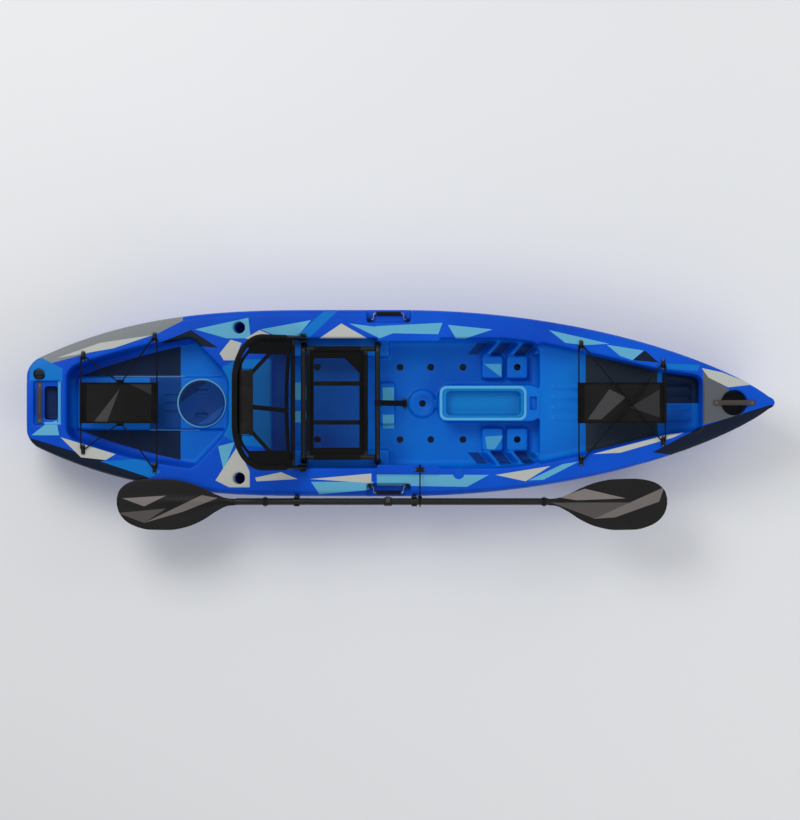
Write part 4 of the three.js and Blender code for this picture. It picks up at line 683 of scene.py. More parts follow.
tank_plan = plan_of(TANK_AFT, TANK_FORE, corner=40, port=tank_half)
cockpit_plan = plan_of(COCKPIT_AFT, COCKPIT_FORE, corner=50, port=cockpit_half)
bow_plan = plan_of(BOW_AFT, BOW_FORE, corner=34, port=bow_half)

# %% Cut the tank well, with its platform for a crate
tank_cutter = recess("tank_cutter", tank_plan, TANK_FLOOR)
platform_plan = plan_of(TANK_AFT + 34, TANK_FORE + OVERRUN, FOOT_CORNER, PLATFORM_HALF)
cut(tank_cutter, mound("platform", platform_plan, TANK_FLOOR, PLATFORM_TOP))
cut(hull, tank_cutter)

# %% Cut the cockpit, with seat ledges, console, heel blocks and treads
cockpit_cutter = recess("cockpit_cutter", cockpit_plan, COCKPIT_FLOOR)
for side in (1, -1):
    edges = span(side, COCKPIT_HALF - LEDGE_WIDTH, HALF_BEAM)
    ledge = plan_of(SEAT_REAR - 80, SEAT_FRONT + 50, FOOT_CORNER, *edges)
    cut(cockpit_cutter, mound("ledge", ledge, COCKPIT_FLOOR, LEDGE_TOP))
console_plan = plan_of(aft=167, fore=630, corner=62, port=80)
block_plan = plan_of(aft=-90, fore=-23, corner=FOOT_CORNER, port=92)
cut(cockpit_cutter, mound("console", console_plan, COCKPIT_FLOOR, CONSOLE_TOP))
cut(cockpit_cutter, mound("floor_block", block_plan, COCKPIT_FLOOR, COCKPIT_FLOOR + FLOOR_BLOCK_HEIGHT))
HEEL_INNER, HEEL_OUTER, HEEL_BLOCK_LENGTH = 109, 210, 92
for aft in (361, 471):
    for side in (1, -1):
        block = plan_of(aft, aft + HEEL_BLOCK_LENGTH, FOOT_CORNER, *span(side, HEEL_INNER, HEEL_OUTER))
        cut(cockpit_cutter, mound("heel_block", block, COCKPIT_FLOOR, COCKPIT_FLOOR + HEEL_BLOCK_HEIGHT))
cut(hull, cockpit_cutter)


# %% Treads of the stepped footrests
def tread(aft, side):
    """A slanting wedge for the foot. Its aft face leans and rounds over into its top."""
    inner, outer = HEEL_OUTER + 6, HALF_BEAM - GUNWALE_WIDTH
    slant = (outer - inner) * TREAD_SLANT
    rings = []
    for lead, rise in ((0, -4), (24, TREAD_HEIGHT - 12), (27, TREAD_HEIGHT - 4), (32, TREAD_HEIGHT)):
        z = COCKPIT_FLOOR + rise
        rings.append([
            (aft + lead, side * inner, z), (aft + TREAD_LENGTH, side * inner, z),
            (aft + TREAD_LENGTH + slant, side * outer, z), (aft + slant + lead, side * outer, z),
        ])
    return lofted("tread", rings)


for k in range(3):
    for side in (1, -1):
        cut(hull, tread(TREAD_AFT + TREAD_PITCH * k, side), operation="UNION")

# %% Cut the bow well and leave its ribs
bow_cutter = recess("bow_cutter", bow_plan, BOW_FLOOR)
for k in range(4):
    middle = (k - 1.5) * RIB_PITCH
    rib = plan_of(668, BOW_FORE - 45, 3.5, middle + RIB_HALF, middle - RIB_HALF)
    cut(bow_cutter, mound("rib", rib, BOW_FLOOR, BOW_FLOOR + RIB_HEIGHT))
cut(hull, bow_cutter)

# %% The round boss, tray, handle recesses and side pockets
BOSS_X = 99
boss_profile = [
    (0, -6), (66, -6), (61, 8), (58, 12), (54, BOSS_HEIGHT), (34, BOSS_HEIGHT), (30, 8), (0, 6),
]
boss_profile = [(radius, COCKPIT_FLOOR + rise) for radius, rise in boss_profile]
cut(hull, turned("boss", boss_profile, sides=48, centre=(BOSS_X, 0, 0)), operation="UNION")


def pocket(plan, top, floor_height):
    return moulding("pocket", plan, [(0, top), (3, floor_height + 3), (6, floor_height)], spans=8)


def opening(ends, high, low=None, wall=0):
    """The plan of a pocket. A wall makes it larger, for the room that the pocket needs in the hollow."""
    return plan_of(ends[0] - wall, ends[1] + wall, POCKET_CORNER, high, low)


def bore(x, y, low, high, radius, sides):
    """An upright round cutter."""
    return bar("bore", (x, y, low), (x, y, high), radius, sides)


POCKET_CORNER, POCKET_DEPTH, POCKET_WALL, POCKET_FLOOR = 12, 42, 6, 5
LANDING, FINGERS, SIDE_POCKET = (-1597, -1475), (-1550, -1491), (-148, 48)
LANDING_HALF, FINGER_HALF, FINGER_DEPTH = 98, 73, 44
POCKET_INNER, POCKET_OUTER = 350, 470
LANDING_FLOOR = gunwale_at(-HALF_LENGTH + 150) - 6
DECK_TOP = STERN_HEIGHT + CROWN + OVERRUN
BOW_HANDLE, BOW_RECESS_RADIUS = HALF_LENGTH - 174, 55
bow_recess_floor = deck_at(BOW_HANDLE) - POCKET_DEPTH
tray_steps = [(0, OVERRUN), (4, 4 - TRAY_DEPTH), (8, -TRAY_DEPTH)]
cut(
    hull,
    moulding("tray", plan_of(203, 530, 18, 53), [(inset, CONSOLE_TOP + rise) for inset, rise in tray_steps]),
    pocket(opening(LANDING, LANDING_HALF), DECK_TOP, LANDING_FLOOR),
    pocket(opening(FINGERS, FINGER_HALF), DECK_TOP, LANDING_FLOOR - FINGER_DEPTH),
    bore(BOW_HANDLE, 0, bow_recess_floor, BOW_HEIGHT + 20, BOW_RECESS_RADIUS, 48),
)
for side in (1, -1):
    side_plan = opening(SIDE_POCKET, *span(side, POCKET_INNER, POCKET_OUTER))
    cut(hull, pocket(side_plan, GUNWALE + CROWN + OVERRUN, GUNWALE - POCKET_DEPTH))

# %% Gear pads and the rod holders
GEAR_PAD_TOP = GUNWALE + CROWN * (1 - (COCKPIT_HALF / HALF_BEAM) ** 2) + 5
PAD_AFT, PAD_FORE, PAD_INNER, PAD_OUTER = -100, 174, 269, 313
ROD_X, ROD_LEAN = -704, math.radians(10)
ROD_Y = half_breadth(ROD_X) - 72
ROD_AXIS = Vector((-math.sin(ROD_LEAN), 0, math.cos(ROD_LEAN)))
ROD_DEPTH, ROD_REACH, ROD_RADIUS = 200, 30, 26


def rod_bore(side, depth, radius, sides):
    """The slanting bore of a rod holder. It leans aft, so that the rod trails."""
    mouth = Vector((ROD_X, side * ROD_Y, deck_at(ROD_X, ROD_Y)))
    return bar("rod_bore", mouth - ROD_AXIS * depth, mouth + ROD_AXIS * ROD_REACH, radius, sides)


for side in (1, -1):
    pad_plan = plan_of(PAD_AFT, PAD_FORE, 6, *span(side, PAD_INNER, PAD_OUTER))
    cut(hull, moulding("pad", pad_plan, [(0, GUNWALE - 4), (0, GEAR_PAD_TOP)], spans=4), operation="UNION")
    cut(hull, rod_bore(side, ROD_DEPTH, ROD_RADIUS, 48))
print("hull faces after the cuts:", len(hull.data.polygons))

# %% [markdown]
# ## Rotomoulded softness
# A rotomoulded skin has no sharp edge anywhere: the plastic flows round every corner. Remeshing the cut
# shell to small cells and relaxing them gives all its edges that same soft radius at once, which bevelling
# each edge of a shape with so many crossings can't do. The cells are then thinned where the shell is flat.

# %% Soften the shell
QUICK_CELL, FINE_CELL = 9, 4.6
SHELL_TRIANGLES = 170000
cell = FINE_CELL
modify(hull, "REMESH", mode="VOXEL", voxel_size=cell * MM, adaptivity=0)
modify(hull, "SMOOTH", factor=0.5, iterations=4)
print("remeshed faces:", len(hull.data.polygons))
ratio = min(SHELL_TRIANGLES / (2 * len(hull.data.polygons)), 1)
modify(hull, "DECIMATE", ratio=ratio)
print("thinned triangles:", len(hull.data.polygons))

# %% [markdown]
# ## Crisp cuts
# Scuppers, the hatch opening, the drain and the accessory seat are trimmed after moulding, so their edges
# are crisp and they are cut last, and so is the hollow inside the shell.

# %% Scuppers, grooves, slot and trimmed holes
WALL = 4
ABOVE_DECK, ABOVE_BOW = 360, 430
SCUPPER_Y, SCUPPER_RADIUS, SCUPPER_ENDS = 159.5, 15, (-5, 210)
SCUPPERS = [(x, side * SCUPPER_Y) for x in (-365, 0, 136, 278, 517) for side in (1, -1)] + [(BOSS_X, 0)]
inner_skin = hull_skin("hollow", -HALF_LENGTH + WALL, HALF_LENGTH - 40, 60, inset=WALL, per_span=1)


def walled(name, plan, floor_height):
    """The space that a recess and its walls take up inside the hollow."""
    return moulding(name, plan, [
        (-14, lambda x: rim_height(plan, x) + 12),
        (-POCKET_FLOOR, floor_height + 14),
        (14, floor_height - POCKET_FLOOR),
    ], corner_steps=3, spans=6)


def pocket_space(plan, top, floor_height):
    levels = [(0, top), (0, floor_height)]
    return moulding("pocket_space", plan, levels, corner_steps=2, spans=2)


cut(inner_skin, walled("tank_space", tank_plan, TANK_FLOOR))
cut(inner_skin, walled("cockpit_space", cockpit_plan, COCKPIT_FLOOR))
cut(inner_skin, walled("bow_space", bow_plan, BOW_FLOOR))
for x, y in SCUPPERS:
    cut(inner_skin, bore(x, y, *SCUPPER_ENDS, SCUPPER_RADIUS + WALL, 16))
    cut(hull, bore(x, y, *SCUPPER_ENDS, SCUPPER_RADIUS, 32))
for side in (1, -1):
    cut(inner_skin, rod_bore(side, ROD_DEPTH + 6, ROD_RADIUS + 5, 20))
    edges = span(side, POCKET_INNER - POCKET_WALL, POCKET_OUTER)
    side_plan = opening(SIDE_POCKET, *edges, wall=POCKET_WALL)
    cut(inner_skin, pocket_space(side_plan, 320, GUNWALE - POCKET_DEPTH - POCKET_WALL))
landing_plan = opening(LANDING, LANDING_HALF + POCKET_WALL, wall=POCKET_WALL)
finger_plan = opening(FINGERS, FINGER_HALF + POCKET_WALL, wall=POCKET_WALL)
cut(
    inner_skin,
    pocket_space(landing_plan, ABOVE_DECK, LANDING_FLOOR - POCKET_FLOOR),
    pocket_space(finger_plan, ABOVE_DECK, LANDING_FLOOR - FINGER_DEPTH - POCKET_FLOOR),
    bore(BOW_HANDLE, 0, bow_recess_floor - POCKET_FLOOR, ABOVE_BOW, BOW_RECESS_RADIUS + 5, 24),
)
cut(hull, inner_skin)
HATCH_X, HATCH_RADIUS = -871, 96
cut(hull, bore(HATCH_X, 0, 150, 200, HATCH_RADIUS, 96))
GROOVE_AFT, GROOVE_FORE, GROOVE_PITCH, GROOVE_HALF = -1032, -967, 36, 4.5
for k in (-1, 0, 1):
    low = (GROOVE_AFT, k * GROOVE_PITCH - GROOVE_HALF, PLATFORM_TOP - 5)
    high = (GROOVE_FORE, k * GROOVE_PITCH + GROOVE_HALF, PLATFORM_TOP + 8)
    cut(hull, softened_box("groove", low, high, 1.5))
slot_levels = [(0, CONSOLE_TOP + OVERRUN), (2, CONSOLE_TOP - 20)]
cut(hull, moulding("slot", plan_of(aft=569, fore=601, corner=6, port=30), slot_levels, spans=4))
DRAIN_X, DRAIN_Y, DRAIN_RADIUS = -HALF_LENGTH + 55, 125, 12
drain_floor = deck_at(DRAIN_X, DRAIN_Y) - 5
DOT_X, DOT_RADIUS = 256, 25
DOT_Y = -(half_breadth(DOT_X) - 92)
cut(
    hull,
    bore(DRAIN_X, DRAIN_Y, drain_floor, ABOVE_DECK, 26, 48),
    bore(DRAIN_X, DRAIN_Y, drain_floor - 26, ABOVE_DECK, DRAIN_RADIUS, 32),
    bore(DOT_X, DOT_Y, deck_at(DOT_X, DOT_Y) - 2, 330, DOT_RADIUS, 48),
)
smooth(hull, 40)
print("hull triangles:", sum(len(p.vertices) - 2 for p in hull.data.polygons))

# %% [markdown]
# ## Finishes
# Each finish is worked out in object coordinates, so its grain keeps its real size wherever it is used. The
# hull's plastic carries a splinter camouflage: straight-edged patches of light blue, stone, navy and grey on
# royal blue. Each patch is a convex shape on the deck plan, and a point is inside it if it lies on the inner
# side of every edge. On the hull's sides, slanting lines end the patches in points. Some dark patches on the
# floors and the dark handle recesses are painted shade, and pale lines along the tank platform's edges are
# painted highlights.


# %% Grain, weave and plain finishes
def rippled(finish, pitch):
    """A woven relief of that pitch in millimetres, in all three directions."""
    x, y, z = [(axis * (2 * math.pi / (pitch * MM))).math("SINE") for axis in finish.axes()]
    return x * y + y * z + z * x


def plain(name, code, worn_code, roughness, grain_scale, grain_depth, **constants):
    """A moulded or coated surface: fine grain, slow changes of shade and a little wear."""
    finish = Finish(name, Specular_IOR_Level=0.3, **constants)
    cloud = finish.noise(9, 4).between(0.35, 0.7)
    speck = finish.noise(160, 2).between(0.55, 0.75)
    worn = cloud * speck * 0.7
    finish.set("Base Color", finish.mix(worn, colour(code), colour(worn_code)))
    finish.set("Roughness", cloud.between(0, 1, roughness - 0.06, roughness + 0.1))
    finish.bump(finish.noise(grain_scale, 2), grain_depth * MM)
    return finish


def woven(name, code, worn_code, pitch, depth, **constants):
    """A woven surface: threads of a pitch in millimetres, paler where they rub."""
    finish = Finish(name, Roughness=0.88, Specular_IOR_Level=0.2, **constants)
    threads = rippled(finish, pitch)
    fade = finish.noise(14, 4).between(0.3, 0.75)
    shade = (fade * 0.55 + threads * 0.25).between(0, 1)
    finish.set("Base Color", finish.mix(shade, colour(code), colour(worn_code)))
    finish.bump(threads, depth * MM)
    return finish


black_plastic = plain("black_plastic", "0F1011", "242527", 0.46, 700, 0.05)
black_rubber = plain("black_rubber", "0D0D0E", "222224", 0.74, 500, 0.06)
grey_rubber = plain("grey_rubber", "4A4340", "625A55", 0.7, 500, 0.06)
cyan_plastic = plain("cyan_plastic", "68B4D6", "8CCBE2", 0.42, 800, 0.04)
seat_tube = plain("seat_tube", "090908", "211D1A", 0.34, 1500, 0.03, Coat_Weight=0.2)
shaft_coat = plain("shaft_coat", "110F0E", "2A2624", 0.33, 1200, 0.03, Coat_Weight=0.3)
steel_wire = plain("steel_wire", "8F9296", "B4B7BA", 0.28, 900, 0.02, Metallic=0.95)
webbing = woven("webbing", "0A0A0B", "232325", 1.6, 0.25)
binding = woven("binding", "080809", "1D1D20", 1.2, 0.15)
bungee_sheath = woven("bungee_sheath", "080809", "262629", 1.1, 0.2)
pad_cloth = woven("pad_cloth", "1B1918", "383330", 1.4, 0.18)


# %% Patches on a plan
class Plan:
    """The object's X and Y, ready to be tested against straight edges."""

    def __init__(self, finish):
        self.finish = finish
        self.x, self.y, self.z = finish.axes()
        self.flat = finish.node("ShaderNodeCombineXYZ", {}, {0: self.x, 1: self.y, 2: 1.0})

    def patch(self, corners):
        """1 inside a convex shape whose corners are given in millimetres."""
        points = [Vector(c) * MM for c in corners]
        area = sum(p.cross(q) for p, q in zip(points, points[1:] + points[:1]))
        if area < 0:
            points.reverse()
        inside = None
        for p, q in zip(points, points[1:] + points[:1]):
            normal = Vector((p.y - q.y, q.x - p.x))
            inputs = {0: self.flat, 1: (normal.x, normal.y, -normal.dot(p))}
            depth = self.finish.node("ShaderNodeVectorMath", {"operation": "DOT_PRODUCT"}, inputs, 1)
            inside = depth if inside is None else inside.least(depth)
        return inside > 0

    def patches(self, shapes):
        whole = None
        for corners in shapes:
            one = self.patch(corners)
            whole = one if whole is None else whole.most(one)
        return whole

    def spot(self, x, y, radius):
        dx, dy = self.x - x * MM, self.y - y * MM
        return (dx * dx + dy * dy) < (radius * MM) ** 2

    def strip(self, low, high):
        """1 inside a box on the plan, from its lowest to its highest corner in millimetres."""
        x = (self.x > low[0] * MM) * (self.x < high[0] * MM)
        return x * (self.y > low[1] * MM) * (self.y < high[1] * MM)


# %% The hull's camouflage, on the deck
LIGHT_BLUE = [
    [(-894, 321), (-662, 372), (-652, 282), (-757, 282)],
    [(-608, 321), (-388, 362), (-435, 306), (-483, 270)],
    [(-221, 347), (6, 318), (-89, 282)],
    [(-107, 335), (185, 350), (167, 300), (-113, 306)],
    [(209, 341), (405, 321), (274, 278), (244, 282)],
    [(650, 318), (912, 258), (805, 252), (721, 262)],
    [(900, 254), (1061, 228), (1013, 186), (960, 204)],
    [(-1604, -141), (-1544, -94), (-1496, -76), (-1484, -141)],
    [(-793, -189), (-721, -171), (-769, -296)],
    [(-388, -344), (-113, -344), (-137, -380), (-352, -398)],
    [(-101, -312), (388, -314), (292, -366), (-101, -360)],
    [(560, -338), (709, -267), (781, -255), (626, -335)],
]
STONE = [
    [(-1496, 195), (-1306, 262), (-1079, 296), (-1250, 238)],
    [(-674, 282), (-614, 318), (-483, 266), (-590, 262)],
    [(-787, 216), (-739, 276), (-692, 262), (-721, 186), (-769, 186)],
    [(-358, 278), (-256, 347), (-143, 282)],
    [(1312, 151), (1400, 132), (1532, 79), (1425, 67), (1340, 110)],
    [(-1478, -150), (-1240, -223), (-1282, -249), (-1390, -237)],
    [(-805, -338), (-709, -189), (-656, -300), (-656, -368), (-745, -368)],
    [(-632, -326), (-519, -302), (-447, -332), (-626, -342)],
    [(-393, -332), (-125, -308), (-125, -350)],
    [(417, -314), (656, -275), (548, -342)],
    [(841, -223), (1288, -106), (1186, -152), (960, -217)],
]
PALE_GREY = [
    [(-1600, 150), (-1600, 300), (-948, 440), (-948, 359), (-1067, 298)],
]
GREY = [
    [(1317, 140), (1425, 60), (1484, -52), (1317, -95)],
]
SKY = [
    [(-489, 258), (-334, 400), (-274, 400), (-429, 254)],
    [(-1306, -255), (-1115, -243), (-1043, -302), (-1091, -326)],
    [(1157, 171), (1306, 165), (1294, 139), (1162, 149)],
    [(-800, 90), (-770, 160), (-705, 190), (-560, 190), (-560, -200), (-705, -180), (-790, -130)],
    [(-1612, 185), (-1560, 196), (-1470, 150), (-1470, 96), (-1612, 96)],
]
NAVY = [
    [(-1620, -150), (-1306, -246), (-1120, -313), (-1030, -372), (-1060, -440), (-1640, -300)],
    [(1100, -215), (1317, -100), (1610, -8), (1660, -60), (1400, -260)],
    [(1013, 186), (1067, 228), (1127, 175)],
    [(-1043, 264), (-912, 318), (-793, 240)],
]
FLOOR_LIGHT = [
    [(370, 174), (447, 174), (447, 115)],
    [(376, -147), (459, -141), (417, -205), (382, -200)],
    [(-76, 8), (-26, 8), (-26, 70), (-76, 70)],
    [(-76, -110), (-26, -110), (-26, -50), (-76, -50)],
    [(-480, 16), (-404, 16), (-404, 92), (-480, 92)],
    [(-480, -84), (-404, -84), (-404, -34), (-480, -34)],
]
TRAY_BLUE = [[(190, -66), (540, -66), (540, 66), (190, 66)]]
FLOOR_GREY = [
    [(815, 260), (1130, 200), (1130, -200), (815, -260)],
]
# Painted shade: the dark patch across the platform between the cargo panel and the hatch lid, and the dark
# gaps between the footrest treads, stand for shadow.
FLOOR_PAINTED_SHADE = [[(-1100, -112), (-962, -112), (-962, 112), (-1100, 112)]]
for k in (-1, 0, 1):
    for side in (1, -1):
        start = 402 + 104 * k
        gap = [(start, 216), (start + 48, 216), (start + 91, 266), (start + 43, 266)]
        FLOOR_PAINTED_SHADE.append([(x, side * y) for x, y in gap])
FLOOR_DARK = [
    [(-1440, 118), (-965, 118), (-965, 300), (-1440, 260)],
    [(-1440, -118), (-965, -118), (-965, -300), (-1440, -260)],
    [(1150, 0), (1330, 0), (1330, 180), (1150, 180)],
]



def moulded_skin(finish, paint):
    """The skin that all rotomoulded plastic has: uneven gloss over a fine pebble grain."""
    finish.set("Base Color", paint)
    finish.set("Roughness", finish.noise(30, 4).between(0.3, 0.7, 0.36, 0.5))
    finish.bump(finish.noise(650, 2), 0.09 * MM)


# A flank begins where the plan reaches 86 % of the outline. The limits below are heights in metres.
FLANK_SHARE = 0.86
hull_plastic = Finish("hull_plastic", Specular_IOR_Level=0.14)
plan = Plan(hull_plastic)
along = plan.x * (1 / (HALF_LENGTH * MM))
fore_law = 1 - along * along
flank_at = fore_law.most(0.001).math("POWER", BOW_OUTLINE_POWER) * (HALF_BEAM * MM * FLANK_SHARE)
flank = plan.y.size() - flank_at > 0
deck = (plan.z > 0.232).most(flank)
topside = ((plan.z + plan.x * 0.06) > 0.21) * ((plan.z - plan.x * 0.2) > 0.07)
topside = topside * (plan.z > 0.266).most(flank)
quarters = deck * ((plan.z + plan.x.size() * 0.28) > 0.53).most(plan.z > 0.27)
well_floor = 0.085 + (plan.x > 0.615) * 0.105 + (plan.x < -0.6) * 0.07
floor_level = (1 - deck) * (plan.z > well_floor)
bow_flank = (plan.x > 1.1) * (plan.y.size() > flank_at * 0.81)
floor_level = floor_level * (1 - bow_flank) * (plan.x < 1.32) * (plan.x > -1.46)
cloud = hull_plastic.noise(2.2, 3).between(0.3, 0.7)
base = hull_plastic.mix(cloud, colour("0043BE"), colour("0058D8"))
floor_blue = hull_plastic.mix(cloud, colour("005ECC"), colour("047EE2"))
base = hull_plastic.mix(floor_level, base, floor_blue)
layers = [
    (PALE_GREY, "858A8C", quarters), (GREY, "5E6268", quarters), (NAVY, "101C30", quarters),
    (SKY, "0474CC", topside), (FLOOR_PAINTED_SHADE, "04428C", floor_level),
    (LIGHT_BLUE, "62AFD2", topside), (STONE, "BFC1BA", topside), (FLOOR_DARK, "0B2546", floor_level),
    (FLOOR_GREY, "2C3844", floor_level), (TRAY_BLUE, "0A7CCA", floor_level),
    (FLOOR_LIGHT, "52AFD6", floor_level),
]
for shapes, code, where in layers:
    base = hull_plastic.mix(plan.patches(shapes) * where, base, colour(code))
base = hull_plastic.mix(plan.spot(DOT_X, DOT_Y, DOT_RADIUS), base, colour("0058CE"))
in_recess = (plan.z < (deck_at(BOW_HANDLE) - 3) * MM) * (plan.z > 0.3)
bow_shade = plan.spot(BOW_HANDLE, 0, BOW_RECESS_RADIUS - 1) * in_recess
base = hull_plastic.mix(bow_shade, base, colour("0B0D14"))
in_fingers = (plan.z < (LANDING_FLOOR - 3) * MM) * (plan.z > 0.24)
finger_shade = plan.strip((-1551, -74), (-1490, 74)) * in_fingers
base = hull_plastic.mix(finger_shade, base, colour("062A5E"))
trim = plan.strip((170, -80), (560, 80)) * (plan.z > (CONSOLE_TOP + 1.2) * MM)
edge = plan.strip((-1490, -94), (-1476, 94)).most(plan.strip((-1550, -94), (-1476, -84)))
base = hull_plastic.mix(trim.most(edge * (plan.z > 0.3)), base, colour("58B0E4"))
# Painted highlights: pale lines along the tank platform's raised edges.
platform_edge_highlight = plan.strip((-1258, 116), (-948, 120)).most(plan.strip((-1098, -120), (-880, -116)))
base = hull_plastic.mix(platform_edge_highlight * floor_level, base, colour("6F9CC8"))
scuff = hull_plastic.noise(38, 5).between(0.6, 0.8) * (plan.z < 0.012)
base = hull_plastic.mix(scuff * 0.5, base, colour("7F97AE"))
moulded_skin(hull_plastic, base)

lid_plastic = Finish("lid_plastic", Specular_IOR_Level=0.14)
lid_plan = Plan(lid_plastic)
dark_patch = lid_plan.patch([(-990, -20), (-800, 130), (-990, 130)])
bright_patch = lid_plan.patch([(-940, -130), (-760, -130), (-760, 0)])
lid_base = lid_plastic.mix(dark_patch, colour("053A80"), colour("04275C"))
lid_base = lid_plastic.mix(bright_patch, lid_base, colour("084E9C"))
moulded_skin(lid_plastic, lid_base)


# %% Charcoal cloth and blades with painted highlights
def painted_highlight_finish(name, code, facets, grain):
    """Charcoal with paler straight-edged facets, each in its own grey, as painted highlights."""
    finish = Finish(name, Roughness=0.5 if grain == "moulded" else 0.85, Specular_IOR_Level=0.25)
    place = Plan(finish)
    shade = finish.noise(4, 3).between(0.3, 0.7) * 0.6
    paint = finish.mix(shade, colour(code), colour("221F1E"))
    for grey, corners in facets:
        paint = finish.mix(place.patch(corners) * 0.85, paint, colour(grey))
    finish.set("Base Color", paint)
    if grain == "moulded":
        finish.bump(finish.noise(500, 2), 0.05 * MM)
    else:
        finish.bump(rippled(finish, 1.5), 0.12 * MM)
    return finish


# The blades' paler facets are painted reflections.
blade_plastic = painted_highlight_finish("blade_plastic", "0B0A0A", [
    ("8A817E", [(-1210, -416), (-1019, -404), (-1115, -451)]),
    ("7B7370", [(-1115, -523), (-864, -402), (-793, -414), (-948, -475)]),
    ("5A5452", [(-1230, -480), (-1115, -523), (-1020, -460)]),
    ("8A817E", [(692, -412), (805, -374), (984, -416), (770, -424)]),
    ("7B7370", [(841, -505), (1151, -368), (1130, -430), (936, -499)]),
    ("5A5452", [(660, -434), (1000, -434), (850, -505)]),
], "moulded")
# The cargo cloth's paler facets are painted light on its folds.
cargo_cloth = painted_highlight_finish("cargo_cloth", "0C0C0D", [
    ("4C4B4D", [(-1341, -92), (-1222, 61), (-1280, -92)]),
    ("34343A", [(-1200, 92), (-1050, 92), (-1050, 20)]),
    ("4C4B4D", [(817, -72), (912, 60), (984, 25), (876, -72)]),
    ("38373A", [(1000, -20), (1150, 70), (1150, -70)]),
], "woven")


# %% Open mesh for the slings
MESH_PITCH = 5.2


def sling_cloth(name, parts):
    """Open mesh that shows what lies behind it. parts gives its solid and its open share at (u, v) metres."""
    finish = Finish(name, Roughness=0.85, Specular_IOR_Level=0.2)
    u, v, _ = finish.axes(finish.node("ShaderNodeTexCoord", {}, {}, "UV"))
    solid, gap = parts(u, v)
    wave = 2 * math.pi / (MESH_PITCH * MM)
    weave = (u * wave).math("SINE") * (v * wave).math("SINE")
    hole = weave.size() > 0.14
    finish.set("Alpha", solid.most(1 - hole) * (1 - gap))
    ribs = ((u + v) * (wave * 0.6)).math("SINE").between(0, 1) * solid
    paint = finish.mix(solid, colour("1E2023"), colour("070708"))
    finish.set("Base Color", finish.mix(ribs * 0.3, paint, colour("1C1C1F")))
    finish.bump(rippled(finish, 1.3), 0.12 * MM)
    return finish


# %% [markdown]
# ## The hull gets its finish, and the console its bead
# A bead frames the tray on the console. It is a separate loft here, because the softening step would melt a
# line only three millimetres high.

# %% Dress the hull
bead_levels = [(0, CONSOLE_TOP - 2), (0, CONSOLE_TOP + 2), (1.5, CONSOLE_TOP + 3.5)]
hole_levels = [(0, CONSOLE_TOP - 5), (0, CONSOLE_TOP + 8)]
bead_outer = moulding("bead", plan_of(aft=174, fore=556, corner=30, port=76), bead_levels)
bead_inner = moulding("bead_hole", plan_of(aft=186, fore=544, corner=22, port=64), hole_levels)
cut(bead_outer, bead_inner)
dressed(smooth(bead_outer), hull_plastic, "hull", slot="hull").name = "console_bead"
dressed(hull, hull_plastic, "hull", "hull", slot="hull")

# %% [markdown]
# ## Hatch
# A flanged ring is screwed to the tank well's floor. The lid screws into it onto a rubber seal, and two
# scoops give the fingers a hold.

# %% Hatch ring, seal and lid
HATCH_Z, SCREW_CIRCLE = PLATFORM_TOP + 0.3, 104.4
at_hatch = (HATCH_X, 0, HATCH_Z)
ring = turned("hatch_ring_fine", [
    (90, -22), (95.6, -22), (95.6, 0), (107.6, 0), (108, 0.6), (108, 4), (107.4, 5.2), (106, 6), (101.8, 6),
    (101, 5.2), (101, 2.3), (90, 2.3),
], 128, at_hatch)
screws = []
for k in range(8):
    turn = 2 * math.pi * (k + 0.5) / 8
    spot = (HATCH_X + SCREW_CIRCLE * math.cos(turn), SCREW_CIRCLE * math.sin(turn), HATCH_Z + 5.4)
    screws.append(turned("screw", [(0, 0), (1.9, 0), (1.7, 0.4), (0.9, 0.58), (0, 0.6)], 16, spot))
dressed(ring, cyan_plastic, "hull", "hatch_ring", slot="cyan_plastic")
dressed(joined("hatch_ring_screws", screws), steel_wire, "hull")
turns = np.linspace(0, 2 * math.pi, 12, endpoint=False)
seal_section = [(95 + 3 * math.cos(t), 4.1 + 1.45 * math.sin(t)) for t in turns]
seal = turned("hatch_seal_fine", seal_section, 96, at_hatch)
dressed(seal, black_rubber, "hatch_seal", "hatch_seal", slot="black_rubber")
lid = turned("hatch_lid_fine", [
    (0, -3.1), (83.7, -3.1), (83.7, -6.1), (89.7, -6.1), (89.7, 5.9), (100.7, 5.9), (100.7, 9.3),
    (100.1, 10.4), (98.8, 10.9), (88, 10.9), (86.4, 10.2), (84.6, 9.6), (0, 9.6),
], 128, at_hatch)
for side in (1, -1):
    middle = Vector(at_hatch) + Vector((0, side * 52, 0))
    low, high = middle + Vector((-27, -10, 1.9)), middle + Vector((27, 10, 24))
    cut(lid, softened_box("scoop", low, high, 4.5, 4))
smooth(lid)
dressed(lid, lid_plastic, "hatch_lid", "hatch_lid", slot="blue_plastic")

# %% [markdown]
# ## Drain plug
# A winged plug with a coarse thread closes the drain in the stern deck, on a flat washer.

# %% Washer and plug
at_drain = (DRAIN_X, DRAIN_Y, drain_floor + 0.3)
washer_section = [(12.4, 0.2), (18.6, 0), (19, 0.5), (19, 1.6), (18.6, 2), (12.4, 1.8)]
washer = turned("drain_washer_fine", washer_section, 48, at_drain)
dressed(washer, black_rubber, "drain_washer", "drain_washer", slot="black_rubber")
tip = [(0, -17.6), (9.6, -17.6), (10.5, -16.4)]
thread = [(11.5 if k % 2 else 10.5, -15 + k * 1.25) for k in range(12)]
knob = [(21, 2.3), (21, 9.8), (20.6, 11.2), (19.6, 12.1), (18.4, 12.3), (0, 12.3)]
plug = turned("drain_plug_body", [*tip, *thread, (11.5, 2.3), *knob], 48, at_drain)
low = Vector(at_drain) + Vector((-18.6, -3.5, 8))
high = Vector(at_drain) + Vector((18.6, 3.5, 21.2))
plug = joined("drain_plug_fine", [plug, softened_box("wing", low, high, 2.2, 4)])
dressed(plug, black_plastic, "drain_plug", "drain_plug", slot="black_plastic")


